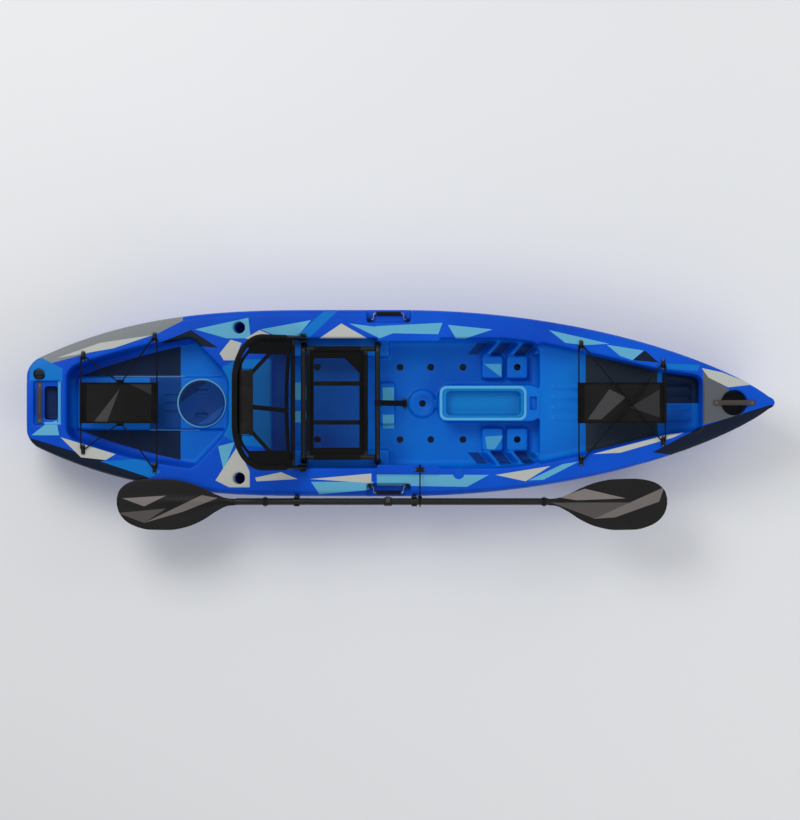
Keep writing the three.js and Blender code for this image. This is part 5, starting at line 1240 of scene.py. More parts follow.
# %% [markdown]
# ## Handles
# At each end a moulded strap rises over a finger recess and carries a ribbed round grip. Amidships, a wire
# bail with a soft grip folds flat into a notch in each gunwale.

# %% Standing on the deck
SEAT_GAP = 0.3
SLOPE_STEP = 20


def deck_normal(x, y):
    along = deck_at(x + SLOPE_STEP, y) - deck_at(x - SLOPE_STEP, y)
    across = deck_at(x, y + SLOPE_STEP) - deck_at(x, y - SLOPE_STEP)
    return Vector((-along, -across, 2 * SLOPE_STEP)).normalized()


def on_deck(x, y, heading=0.0):
    normal = deck_normal(x, y)
    seat = Vector((x, y, deck_at(x, y))) + normal * SEAT_GAP
    turn = Vector((0, 0, 1)).rotation_difference(normal) @ Quaternion((0, 0, 1), heading)
    return Matrix.Translation(seat * MM) @ turn.to_matrix().to_4x4()


def flat_at(x, y, z, heading=0.0):
    return Matrix.Translation(Vector((x, y, z)) * MM) @ Matrix.Rotation(heading, 4, "Z")


def pan_head(x, y, z, radius=4.2, height=1.6):
    profile = [(0, 0), (radius, 0), (radius, height * 0.35), (radius * 0.8, height * 0.85), (0, height)]
    head = turned("pan_head", profile, 20, (x, y, z))
    low = (x - radius * 0.55, y - 0.4, z + height * 0.5)
    high = (x + radius * 0.55, y + 0.4, z + height + 1)
    return cut(head, softened_box("driver", low, high, 0.1, 1), solver="EXACT")


# %% End handles
def ribs(pitch, crest, trough, stops):
    """The ribbed part of a grip's profile: nineteen ribs, each rising and falling at its stops."""
    radii = (crest, crest, trough, trough)
    return [(radius, k * pitch + stop) for k in range(-9, 10) for radius, stop in zip(radii, stops)]


STRAP_HALF, SCREW_REACH = 90, 77


def end_handle(name, matrix):
    """A moulded strap on two feet, given as (place, underside, top), with a ribbed grip round its middle."""
    stations = [(-STRAP_HALF, 0, 4.9), (-66, 0, 5.2), (-62, 0.8, 6.2), (-52, 10, 17), (-48, 11, 18)]
    stations += [(-x, low, high) for x, low, high in reversed(stations)]
    side_view = [(x, -11, low) for x, low, _ in stations]
    side_view += [(x, -11, high) for x, _, high in reversed(stations)]
    strap = plate("handle_strap", side_view, (0, 22, 0), 1.6)
    profile = [(0, -50), (8.5, -50), (9.6, -49)]
    profile += ribs(5, 9.9, 9.1, (-1.7, 1.0, 1.5, 2.8))
    profile += [(9.6, 49), (8.5, 50), (0, 50)]
    grip = turned("handle_grip", profile, 36, (0, 0, 14.5), (1, 0, 0))
    whole = placed(joined(name, [strap, grip]), matrix)
    dressed(whole, grey_rubber, "hull", name.replace("_fine", ""), slot="grey_rubber")
    heads = [pan_head(x, 0, 4.9) for x in (-SCREW_REACH, SCREW_REACH)]
    dressed(placed(joined(name.replace("fine", "screws"), heads), matrix), steel_wire, "hull")


end_handle("stern_handle_fine", flat_at(DRAIN_X, 0, LANDING_FLOOR + SEAT_GAP, math.pi / 2))
aft_foot, fore_foot = [
    Vector((x, 0, deck_at(x) + 2 * SEAT_GAP)) for x in (BOW_HANDLE - STRAP_HALF, BOW_HANDLE + STRAP_HALF)
]
pitch = math.atan2(fore_foot.z - aft_foot.z, 2 * STRAP_HALF)
bow_seat = Matrix.Translation((aft_foot + fore_foot) / 2 * MM)
end_handle("bow_handle_fine", bow_seat @ Matrix.Rotation(-pitch, 4, "Y"))


# %% Carry handles
def carry_handle(name, side):
    matrix = flat_at(-50, side * 364, 258)
    out = side * 28
    route = [(-84, 0, 0), (-66, 0, 0), (-66, out, 0), (66, out, 0), (66, 0, 0), (84, 0, 0)]
    bail = placed(tube("bail", route, 3.5, 9, 20), matrix)
    dressed(bail, steel_wire, name, f"{name}_bail", slot="steel_wire").name = f"{name}_bail_fine"
    profile = [(3.9, -54), (7.6, -54), (8.8, -52.4)]
    profile += ribs(5.4, 9, 8.1, (-1.8, 1.4, 1.9, 3.0))
    profile += [(8.8, 52.4), (7.6, 54), (3.9, 54)]
    grip = placed(turned("grip", profile, 32, (0, out, 0), (1, 0, 0)), matrix)
    dressed(grip, black_rubber, name, f"{name}_grip", slot="black_rubber").name = f"{name}_grip_fine"
    for end, toward in (("fore", 1), ("aft", -1)):
        far, near = span(toward, 75.3, 87.3)
        bracket = softened_box("bracket", (near, -7, -9.7), (far, 7, 8.3), 2.6, 4)
        cut(bracket, bar("bracket_bore", (-95, 0, 0), (95, 0, 0), 3.8, 20))
        placed(smooth(bracket), matrix)
        node = f"{name}_bracket_{end}"
        dressed(bracket, black_plastic, "hull", node, slot="black_plastic").name = f"{node}_fine"


carry_handle("port_handle", 1)
carry_handle("starboard_handle", -1)

# %% [markdown]
# ## Pad-eyes
# One pad-eye is modelled: a screwed base with a round arch over it. The ten on the boat are copies of it.

# %% Model one pad-eye
eye_base = moulding("eye_base", plan_of(-23, 23, 8, 9), [(0, 0), (0, 2.4), (0.5, 3.4), (1.5, 4)], spans=4)
eye_arch = tube("eye_arch", [(-10, 0, 1), (-10, 0, 18), (10, 0, 18), (10, 0, 1)], 3.2, 8, 20)
eye_foot_profile = [(0, 3), (5, 3), (4.2, 4.6), (3.3, 6.6), (0, 6.6)]
eye_feet = [turned("eye_foot", eye_foot_profile, 24, (x, 0, 0)) for x in (-10, 10)]
pad_eye = joined("pad_eye_master", [smooth(eye_base), eye_arch, *eye_feet])
eye_screws = joined("pad_eye_screws", [pan_head(x, 0, 3.9, 2.9, 1.2) for x in (-18.6, 18.6)])


def place_eye(node, matrix):
    eye = placed(copy_of(pad_eye, f"{node}_fine"), matrix)
    dressed(eye, black_plastic, "hull", node, slot="black_plastic")
    dressed(placed(copy_of(eye_screws, f"{node}_screws"), matrix), steel_wire, "hull")


# %% Place the pad-eyes
STERN_EYES = {"aft": -1380, "fore": -1070}
BOW_EYES = {"aft": 790, "fore": 1145}


def stern_side(x):
    return half_breadth(x) - 74


def bow_side(x):
    return bow_half(x) + 24


for prefix, stations, side_at in (("stern", STERN_EYES, stern_side), ("bow", BOW_EYES, bow_side)):
    for end, x in stations.items():
        for hand, side in (("port", 1), ("starboard", -1)):
            place_eye(f"{prefix}_pad_eye_{end}_{hand}", on_deck(x, side * side_at(x), math.pi / 2))
KEEPER_X, KEEPER_Y = 87, -291
place_eye("tie_down_anchor", flat_at(22, 0, COCKPIT_FLOOR + SEAT_GAP, math.pi / 2))
place_eye("keeper_anchor", flat_at(KEEPER_X, KEEPER_Y, GEAR_PAD_TOP + SEAT_GAP))
for master in (pad_eye, eye_screws):
    bpy.data.objects.remove(master)

# %% [markdown]
# ## Bungees
# A bungee is one length of shock cord, tied into a loop through its four pad-eyes. It runs taut, so it is
# straight between the eyes and turns round each arch. Its route is found by moving the corners until every
# run touches the circles that it turns round.


# %% Routes of the cords
CORD_RADIUS, CORD_BEND = 3, 10


def eye_place(x, side, side_at):
    """The middle of the circle that a cord turns round at an eye."""
    y = side * side_at(x)
    normal = deck_normal(x, y)
    return Vector((x, y, deck_at(x, y))) + normal * (SEAT_GAP + 8) + Vector((0, -side * 10, 0))


def eyes_of(stations, side_at):
    return {(end, side): eye_place(x, side, side_at) for end, x in stations.items() for side in (1, -1)}


def cord_corners(stops):
    """Moves each corner out until its run touches the circle that it turns round. 0 is a plain crossing."""
    corners = [Vector(at) for at, _ in stops]
    for _ in range(24):
        for i, (at, turn) in enumerate(stops):
            if turn:
                behind = (corners[i - 1] - corners[i]).normalized()
                ahead = (corners[(i + 1) % len(stops)] - corners[i]).normalized()
                half_turn = (math.pi - behind.angle(ahead)) / 2
                corners[i] = Vector(at) - (behind + ahead).normalized() * (turn / math.cos(half_turn))
    return corners


def closed_cord(name, corners):
    """A cord round its corners, closed by a crimped sleeve."""
    middle = (corners[0] + corners[-1]) / 2
    half = (corners[0] - corners[-1]).normalized() * 1.2
    route = [middle + half, *corners, middle - half]
    cord = tube(name, route, CORD_RADIUS, CORD_BEND, 14, 10)
    crimp = bar("crimp", middle - half * 7, middle + half * 7, 4.2, 20)
    return joined(name, [cord, crimp])


# %% The two bungees
stern, bow = eyes_of(STERN_EYES, stern_side), eyes_of(BOW_EYES, bow_side)
APEX_X, APEX_Y = -1220, 98
apex_share = (APEX_X - STERN_EYES["aft"]) / (STERN_EYES["fore"] - STERN_EYES["aft"])
apex_height = mix(stern["aft", 1].z, stern["fore", 1].z, apex_share)
apex = {side: Vector((APEX_X, side * APEX_Y, apex_height)) for side in (1, -1)}
stern_turns = [
    stern["aft", 1], apex[1], stern["fore", 1], stern["fore", -1], apex[-1], stern["aft", -1],
]
stern_corners = cord_corners([(at, CORD_BEND) for at in stern_turns])
stern_cord = closed_cord("stern_bungee_fine", stern_corners)
dressed(stern_cord, bungee_sheath, "hull", "stern_bungee", slot="bungee")

crossing = bow["aft", 1].y / (bow["aft", 1].y + bow["fore", 1].y)
cross_x = mix(BOW_EYES["aft"], BOW_EYES["fore"], crossing)
cross_z = mix(bow["aft", 1].z, bow["fore", 1].z, crossing) + 8
bow_corners = cord_corners([
    (bow["aft", 1], CORD_BEND), (bow["fore", -1], CORD_BEND), (bow["fore", 1], CORD_BEND),
    (Vector((cross_x, 0, cross_z)), 0), (bow["aft", -1], CORD_BEND),
])
bow_cord = closed_cord("bow_bungee_fine", bow_corners)
dressed(bow_cord, bungee_sheath, "hull", "bow_bungee", slot="bungee")

# %% [markdown]
# ## Cargo panels
# Each panel is stiff cloth with a hem at both ends. The hems are sewn round the cross cords, which hold the
# panel stretched between them.


# %% A stretched panel
PANEL_DROP = CORD_RADIUS + SEAT_GAP + 1.2
PANEL_HALF, EDGE_TAPE_HALF = 89, 3.2


def round_cord(cord_at, sign, reach, rise, turns):
    """Points of a hem round its cord, in the boat's middle plane."""
    return [(cord_at.x + reach * math.cos(t) * sign, cord_at.z + rise * math.sin(t)) for t in turns]


def cargo_panel(name, aft, fore):
    """A panel between two cords: the cloth, its hems and tapes, its height along the boat, its flat size."""
    slope = (fore.z - aft.z) / (fore.x - aft.x)
    low_x, high_x = aft.x + 5, fore.x - 5
    rows, columns, half = 40, 22, PANEL_HALF

    def top(x):
        return aft.z + slope * (x - aft.x) - PANEL_DROP

    def sag(row, y):
        return 1.6 * math.sin(math.pi * row / rows) * (1 - (y / half) ** 2)

    sheet_rings = []
    for r in range(rows + 1):
        x = mix(low_x, high_x, r / rows)
        across = [mix(-half, half, c / columns) for c in range(columns + 1)]
        upper = [(x, y, top(x) - 0.4 - sag(r, y)) for y in across]
        sheet_rings.append(upper + [(x, y, z - 2.0) for x, y, z in reversed(upper)])
    panel = smooth(lofted(f"{name}_fine", sheet_rings), 40)
    extras = []
    for cord_at, sign in ((aft, 1), (fore, -1)):
        inner, outer = cord_at.x + sign * 8, cord_at.x - sign * 6.6
        outside = round_cord(cord_at, sign, 5.6, 5.2, np.linspace(-0.9, math.pi + 0.9, 14))
        inside = round_cord(cord_at, sign, 3.9, 3.7, np.linspace(math.pi + 0.9, -0.9, 14))
        loop = [[(x, y, z) for x, z in outside + inside] for y in (-half, half)]
        extras.append(smooth(lofted("hem_loop", loop), 50))
        flap = [
            (inner + sign * 16, top(inner + sign * 16) + 0.1),
            (inner - sign * 2, top(inner) + 0.4),
            (outer + sign * 2, top(outer)),
        ]
        lows = [(x, z - 1.2) for x, z in reversed(flap)]
        extras.append(lofted("hem_flap", [[(x, y, z) for x, z in flap + lows] for y in (-half, half)]))
    low, high, wide = -1.3, 0.9, EDGE_TAPE_HALF
    tape = [(-wide, low), (wide, low), (wide, high), (-wide, high)]
    for side in (1, -1):
        y = side * (half - EDGE_TAPE_HALF)
        edge = [(x, y, top(x) + 0.1) for x in (low_x + 12, high_x - 12)]
        extras.append(smooth(swept("edge_tape", edge, tape), 30))
    return panel, extras, top, (2 * half * MM, (high_x - low_x) * MM)


def stitches(name, start, end, z_at, pitch=5.0, length=3.0):
    """A row of sewn stitches, each a short rounded bar."""
    start, end = Vector(start), Vector(end)
    count = int((end - start).length / pitch)
    along = (end - start).normalized()
    made = []
    for k in range(count):
        a = start + along * (k + 0.2) * pitch
        b = a + along * length
        low = [Vector((p.x, p.y, z_at(p.x))) for p in (a, b)]
        made.append(bar("stitch", *low, 0.45, 6))
    return joined(name, made)


panels = (("stern_cargo_panel", stern_corners, 2), ("bow_cargo_panel", bow_corners, 1))
for name, corners, fore_corner in panels:
    aft, fore = corners[0], corners[fore_corner]
    panel, extras, top, flat = cargo_panel(name, aft, fore)
    if name.startswith("stern"):
        z = top(APEX_X)
        for side in (1, -1):
            far, near = span(side, 80, 101)
            tab = softened_box("tab", (APEX_X - 17, near, z - 2.6), (APEX_X + 17, far, z + 0.6), 1.0, 2)
            y = side * APEX_Y
            post = bar("post", (APEX_X, y, z - 2.6), (APEX_X, y, z + 9.4), 4, 24)
            extras += [tab, post]
    hem = dressed(joined(f"{name}_hem", extras), binding, "hull")
    seams = []
    for side in (1, -1):
        start, end = (aft.x + 26, side * 81, 0), (fore.x - 26, side * 81, 0)
        seams.append(stitches("seam", start, end, lambda x: top(x) - 0.1))
    for cord_at, sign in ((aft, 1), (fore, -1)):
        x = cord_at.x + sign * 21
        seams.append(stitches("seam", (x, -84, 0), (x, 84, 0), lambda _: top(x) + 0.5))
    thread = dressed(joined(f"{name}_thread", seams), bungee_sheath, "hull")
    dressed(panel, cargo_cloth, "hull", name, slot="cargo_fabric")
    cord = name.replace("cargo_panel", "bungee_fine")

# %% [markdown]
# ## Seat frame
# The seat is bent from aluminium tube with a black powder coat. Its two leg frames stand in rubber feet on
# the cockpit's ledges, and the base frame ties them together.

# %% Leg frames, base frame and feet
LEG_HALF, SEAT_Z, RAIL_HALF = COCKPIT_HALF - 28, LEDGE_TOP + 85, COCKPIT_HALF - 47
LEG_FOOT = LEDGE_TOP + 8.6
FRAME_RADIUS, CROSS_RADIUS, LEG_BEND = 11, 9, 34
TUBE_GAP, BAR_GAP = FRAME_RADIUS + 0.3, CROSS_RADIUS + 0.3
REAR_BAR, FRONT_BAR = 22.3, SEAT_DEPTH - 52
CROSS_BARS = (REAR_BAR, FRONT_BAR)


def at_seat(x, y, z):
    return (SEAT_REAR + x, y, z)


def on_bars(name, low, high, radius):
    """The base frame's two cross bars, or what is slid over them."""
    return [bar(name, at_seat(x, low, SEAT_Z), at_seat(x, high, SEAT_Z), radius, 28) for x in CROSS_BARS]


leg_outline = [(-LEG_HALF, LEG_FOOT), (-LEG_HALF, SEAT_Z), (LEG_HALF, SEAT_Z), (LEG_HALF, LEG_FOOT)]
for name, x in (("rear_leg_frame", 0), ("front_leg_frame", SEAT_DEPTH)):
    corners = [at_seat(x, y, z) for y, z in leg_outline]
    frame_tube = tube(f"{name}_fine", corners, FRAME_RADIUS, LEG_BEND, 28, 14)
    dressed(frame_tube, seat_tube, "hull", name, slot="seat_tube")
rails = []
for side in (1, -1):
    rail_ends = [at_seat(x, side * RAIL_HALF, SEAT_Z) for x in (TUBE_GAP, SEAT_DEPTH - TUBE_GAP)]
    rails.append(bar("rail", *rail_ends, FRAME_RADIUS, 28))
rails += on_bars("bar", -RAIL_HALF, RAIL_HALF, CROSS_RADIUS)
dressed(joined("seat_base_frame_fine", rails), seat_tube, "hull", "seat_base_frame", slot="seat_tube")
foot_profile = [
    (0, 0.4), (13.8, 0), (15, 1.2), (15, 4.2), (14.4, 5), (14.4, 7), (14.8, 8), (14.5, 28.6),
    (13.6, 30), (12, 30), (11.6, 29.4), (11.6, 8), (0, 8),
]
for end, x in (("rear", 0), ("front", SEAT_DEPTH)):
    for hand, side in (("port", 1), ("starboard", -1)):
        node = f"foot_{end}_{hand}"
        foot = turned(f"{node}_fine", foot_profile, 36, at_seat(x, side * LEG_HALF, LEDGE_TOP + 0.3))
        dressed(foot, black_rubber, "hull", node, slot="black_rubber")

# %% [markdown]
# ## Slings
# The seat and the backrest are open mesh, laced round their tubes. Each is a sagging sheet with a solid
# border. Its UV map is laid in metres along the cloth, so the mesh has the same pitch on both.


# %% A sling on a grid
def sling(name, length, half_at, place, columns=48, rows=40, thickness=1.4):
    """A grid whose vertices are moved to the sagging cloth's own place, then thickened. UV is in metres."""
    bpy.ops.object.select_all(action="DESELECT")
    bpy.ops.mesh.primitive_grid_add(x_subdivisions=columns, y_subdivisions=rows, size=2)
    piece = settled(name)
    flat = []
    for vertex in piece.data.vertices:
        v = (vertex.co.y + 1) / 2 * length
        flat.append((vertex.co.x * half_at(v), v))
        vertex.co = Vector(place(*flat[-1], 0)) * MM
    layer = piece.data.uv_layers.active
    for loop, corner in zip(piece.data.loops, layer.data):
        corner.uv = [size * MM for size in flat[loop.vertex_index]]
    modify(piece, "SOLIDIFY", thickness=thickness * MM, offset=0)
    return smooth(piece, 50)


# %% Seat sling with its cross straps
SLING_HALF = RAIL_HALF - TUBE_GAP
SLING_AFT, SLING_FORE = REAR_BAR + BAR_GAP, FRONT_BAR - BAR_GAP
SLING_LENGTH = SLING_FORE - SLING_AFT
SEAT_SAG = 14
SEAT_STRAP_Y, SEAT_STRAP_HALF, SLEEVE_RADIUS = 85, 9.5, 9.9


def seat_parts(u, v):
    """Solid borders, a gusset at the front port corner, and no opening."""
    fore = SLING_LENGTH * MM - v
    rim = (u.size() > (SLING_HALF - 30) * MM).most(v < 0.014).most(fore < 0.018)
    gusset = (u - fore) > (SLING_HALF - 112) * MM
    return rim.most(gusset), 0


seat_cloth = sling_cloth("seat_cloth", seat_parts)


def seat_place(u, v, lift):
    slack = 1 - (u / SLING_HALF) ** 2
    ripple = 0.5 * math.sin(v * 0.09) * math.cos(u * 0.03)
    return at_seat(SLING_AFT + v, u, SEAT_Z - SEAT_SAG * slack + ripple * slack + lift - 0.3)


seat_sling = sling("seat_mesh_fine", SLING_LENGTH, lambda v: SLING_HALF, seat_place)
dressed(seat_sling, seat_cloth, "hull", "seat_mesh", slot="seat_fabric")
seat_flat = (2 * SLING_HALF * MM, SLING_LENGTH * MM)


def flat_strap(name, points, normals, half, thickness):
    """A grid one face wide, laid along points, thickened and given soft edges."""
    last = len(points) - 1
    bpy.ops.object.select_all(action="DESELECT")
    bpy.ops.mesh.primitive_grid_add(x_subdivisions=1, y_subdivisions=last, size=2)
    piece = settled(name)
    for vertex in piece.data.vertices:
        row = round((vertex.co.y + 1) / 2 * last)
        ahead = Vector(points[min(row + 1, last)]) - Vector(points[max(row - 1, 0)])
        side = Vector(normals[row]).cross(ahead).normalized()
        vertex.co = (Vector(points[row]) + side * half * vertex.co.x) * MM
    modify(piece, "SOLIDIFY", thickness=thickness * MM, offset=0)
    modify(piece, "BEVEL", width=0.5 * MM, segments=2, limit_method="ANGLE", angle_limit=BEVEL_ANGLE)
    return smooth(piece, 50)


for hand, side in (("port", 1), ("starboard", -1)):
    y = side * SEAT_STRAP_Y
    run = [Vector(seat_place(y, v, 1.6)) for v in np.linspace(0.5, SLING_LENGTH - 0.5, 24)]
    web = flat_strap("seat_strap_web", run, [(0, 0, 1)] * len(run), SEAT_STRAP_HALF, 1.6)
    loops = on_bars("loop", y - SEAT_STRAP_HALF, y + SEAT_STRAP_HALF, 10.6)
    strap = joined(f"seat_strap_{hand}_fine", [web, *loops])
    dressed(strap, webbing, "hull", f"seat_strap_{hand}", slot="webbing")
sleeves = on_bars("sleeve", 14 - SLING_HALF, SLING_HALF - 14, SLEEVE_RADIUS)
for side in (1, -1):
    y = side * RAIL_HALF
    sleeves.append(bar("sleeve", at_seat(46, y, SEAT_Z), at_seat(250, y, SEAT_Z), 11.8, 28))
dressed(joined("seat_sleeves", sleeves), binding, "hull")

# %% [markdown]
# ## Hinge and backrest
# Two plates outside the rear legs carry the backrest on bolts with round knobs. The backrest is one bent
# tube with a bar across its foot. All its pieces are made upright at the bolts and then leaned back.

# %% Hinge plates and bolts
PIVOT = Vector((SEAT_REAR, 0, SEAT_Z + 22))
PLATE_INNER, PLATE_THICKNESS = LEG_HALF + TUBE_GAP, 4
BACK_HALF = PLATE_INNER + PLATE_THICKNESS + 0.3 + FRAME_RADIUS
RIVET = [(0, 0), (4, 0), (3.6, 0.9), (2, 1.4), (0, 1.5)]
BOLT_HEAD = [(0, -3.3), (6.8, -3.3), (8, -2.3), (8, -0.3), (4, -0.3)]
for hand, side in (("port", 1), ("starboard", -1)):
    outline = [(-10, -50), (10, -50), (20, 20)]
    outline += [(20 * math.cos(t), 22 + 20 * math.sin(t)) for t in np.linspace(0, math.pi, 25)]
    outline += [(-20, 20)]
    outline = [(SEAT_REAR + x, side * PLATE_INNER, SEAT_Z + z) for x, z in outline]
    hinge = plate(f"hinge_plate_{hand}_fine", outline, (0, side * PLATE_THICKNESS, 0), 0.8)
    bolt_hole = bar("bolt_hole", (SEAT_REAR, side * 200, PIVOT.z), (SEAT_REAR, side * 330, PIVOT.z), 4.4, 24)
    hinge = smooth(cut(hinge, bolt_hole, solver="EXACT"))
    dressed(hinge, black_plastic, "hull", f"hinge_plate_{hand}", slot="black_plastic")
    face = side * (PLATE_INNER + PLATE_THICKNESS)
    places = [(SEAT_REAR, face, SEAT_Z + z) for z in (-12, -38)]
    rivets = [turned("rivet", RIVET, 24, place, (0, side, 0)) for place in places]
    dressed(joined(f"hinge_rivets_{hand}", rivets), steel_wire, "hull")
    start = BACK_HALF + TUBE_GAP
    knob = [(4, start), (11.6, start), (13, start + 1.4)]
    knob += [(13, start + 7.2), (12.2, start + 8.4), (10.8, start + 9), (0, start + 9)]
    head = [(radius, PLATE_INNER + height) for radius, height in BOLT_HEAD]
    bolt = turned(f"pivot_bolt_{hand}_fine", head + knob, 40, (SEAT_REAR, 0, PIVOT.z), (0, side, 0))
    for k in range(10):
        turn = 2 * math.pi * k / 10
        spot = Vector((SEAT_REAR + 14.2 * math.cos(turn), 0, PIVOT.z + 14.2 * math.sin(turn)))
        low, high = spot + Vector((0, side * (start - 1), 0)), spot + Vector((0, side * (start + 12), 0))
        cut(bolt, bar("flute", low, high, 2.4, 16), solver="EXACT")
    dressed(smooth(bolt), black_plastic, "hull", f"pivot_bolt_{hand}", slot="black_plastic")

# %% Backrest frame
RECLINE = math.radians(38)
lean_back = Matrix.Translation(PIVOT * MM) @ Matrix.Rotation(-RECLINE, 4, "Y")
BACK_LENGTH, BACK_BEND, BACK_BAR = 460, 190, 70


def back_arch(name, foot, radius):
    """The backrest's bent tube, or a sleeve over it that starts higher up."""
    port = [(0, BACK_HALF, BACK_LENGTH), (0, BACK_HALF, foot)]
    starboard = [(0, -y, z) for _, y, z in reversed(port)]
    return tube(name, starboard + port, radius, BACK_BEND, 28, 24)


arch = back_arch("back_arch", -14, FRAME_RADIUS)
back_bar = bar("back_bar", (0, -BACK_HALF, BACK_BAR), (0, BACK_HALF, BACK_BAR), CROSS_RADIUS, 28)
cap_profile = [(0, -14.6), (9.6, -14.6), (11.2, -13), (11.2, -6), (10.2, -5.5), (0, -5.5)]
caps = [turned("cap", cap_profile, 28, (0, side * BACK_HALF, 0)) for side in (1, -1)]
back_frame = placed(joined("backrest_frame_fine", [arch, back_bar]), lean_back)
dressed(back_frame, seat_tube, "backrest", "backrest_frame", slot="seat_tube")
dressed(placed(joined("backrest_tube_caps", caps), lean_back), black_rubber, "backrest")

# %% Backrest sling
BACK_SLING_HALF = BACK_HALF - TUBE_GAP
BACK_FOOT, BACK_TOP = BACK_BAR + BAR_GAP, BACK_LENGTH - TUBE_GAP
BACK_SAG, INNER_BEND = 18, BACK_BEND - TUBE_GAP
AREA_SLICES = 200
back_span = BACK_TOP - BACK_FOOT


def back_parts(u, v):
    """Wide side bands, a hem, a laced gap at each bend of the tube, and an opening beside the head pad."""
    over = u.size() - (BACK_SLING_HALF - INNER_BEND) * MM
    past = v - (back_span - INNER_BEND) * MM
    round_edge = (over.most(0) * over.most(0) + past.most(0) * past.most(0)).math("SQRT")
    solid = (u.size() > (BACK_SLING_HALF - 62) * MM).most(v < 0.024).most(round_edge > (INNER_BEND - 34) * MM)
    solid = solid.most(v > (back_span - 52) * MM)
    laced = ((over + past) > (INNER_BEND * math.sqrt(2) - 26) * MM) * ((over - past).size() < 0.05)
    beside_pad = (v + u.size() * 1.325 > 0.414) * (1 - solid)
    return solid, laced.most(beside_pad)


back_cloth = sling_cloth("back_cloth", back_parts)


def back_outline(v):
    above = v - (back_span - INNER_BEND)
    return BACK_SLING_HALF - corner_cut(INNER_BEND - above if above > 0 else INNER_BEND, INNER_BEND)


def back_sag(u):
    return -BACK_SAG * (1 - (u / BACK_SLING_HALF) ** 2)


def back_place(u, v, lift):
    pull = math.sin(math.pi * min(v / 60, 1) / 2)
    pucker = 0.7 * math.sin(v * 0.16 + abs(u) * 0.05) * (abs(u) / BACK_SLING_HALF) ** 3 * pull
    return (back_sag(u) + pucker + lift, u, BACK_FOOT + v)


back_sling = sling("backrest_mesh_fine", back_span, back_outline, back_place, 56, 60)
placed(back_sling, lean_back)
dressed(back_sling, back_cloth, "backrest", "backrest_mesh", slot="seat_fabric")
slices = [(k + 0.5) * back_span / AREA_SLICES for k in range(AREA_SLICES)]
back_area = sum(2 * back_outline(v) * back_span / AREA_SLICES for v in slices) * MM * MM
back_flat = (2 * BACK_SLING_HALF * MM, back_span * MM)

# %% Straps, sleeves and lacing of the backrest
centre_run = [Vector(back_place(-35 + v * 0.06, v, 1.7)) for v in np.linspace(2, back_span - 118, 26)]
centre_strap = flat_strap("centre_strap", centre_run, [(1, 0, 0)] * len(centre_run), 10, 1.6)
low_loop = bar("loop", (0, -45, BACK_BAR), (0, -25, BACK_BAR), 10.4, 28)
back_straps = [centre_strap, low_loop]
for side in (1, -1):
    steps = np.linspace(0, 1, 16)
    run = [Vector(back_place(side * mix(122, 214, t), mix(258, 136, t), 1.5)) for t in steps]
    back_straps.append(flat_strap("corner_strap", run, [(1, 0, 0)] * len(run), 10, 1.5))
back_straps = placed(joined("backrest_straps", back_straps), lean_back)
dressed(back_straps, webbing, "backrest")

sleeve = back_arch("sleeve", 120, 12)
reach = BACK_SLING_HALF - 20
foot_sleeve = bar("sleeve", (0, -reach, BACK_BAR), (0, reach, BACK_BAR), SLEEVE_RADIUS, 28)
backrest_sleeve = placed(joined("backrest_sleeve", [sleeve, foot_sleeve]), lean_back)
dressed(backrest_sleeve, binding, "backrest")
lacing = []
for side in (1, -1):
    for k in range(13):
        v = 40 + k * 20
        u = back_outline(v) - 8
        rim = Vector((0, side * BACK_HALF, BACK_FOOT + v + 8))
        hole = Vector(back_place(side * u, v, 1.6))
        if v < back_span - INNER_BEND + 20:
            wrap = [hole, (hole + rim) / 2 + Vector((11, 0, 0)), rim + Vector((12.4, 0, 0))]
            lacing.append(tube("lace", wrap, 1.5, 10, 8, 6))
dressed(placed(joined("backrest_lacing", lacing), lean_back), bungee_sheath, "backrest")

# %% [markdown]
# ## Head pad
# The head pad is a stuffed cloth pad at the top of the backrest. It starts as a crowned block in the space
# of its CAD solid. Cloth with a little pressure then rounds its faces and puckers its edges, and the piping
# and the sewn ribs are added after that.

# %% Pad shape and cloth
PAD_HALF, PAD_RISE, PAD_TOP = 150, 48, BACK_TOP - 22
PAD_LOW, PAD_BACK = PAD_TOP - 2 * PAD_RISE, back_sag(PAD_HALF) + 1.25 + SEAT_GAP
PAD_CELL, QUICK_PAD_CELL = 4.5, 7
LARGEST_MOVE = 0.0035


def pad_block(name, shrink):
    """The pad's block: flat behind, crowned in front, and narrower at half height."""
    rings = []
    for r in range(13):
        up = mix(-1, 1, r / 12)
        width = PAD_HALF - shrink - 6 * (1 - up * up)
        front = []
        for k in range(25):
            s = mix(-1, 1, k / 24)
            swell = math.sqrt(max(1 - s**4, 0)) * math.sqrt(max(1 - up**4, 0))
            front.append((PAD_BACK + shrink + 5 + 11 * swell, width * s))
        rear = [(PAD_BACK + shrink * 0.4, y) for _, y in reversed(front)]
        z = mix(PAD_LOW + shrink, PAD_TOP - shrink, r / 12)
        rings.append([(x, y, z) for x, y in front + rear])
    return lofted(name, rings)


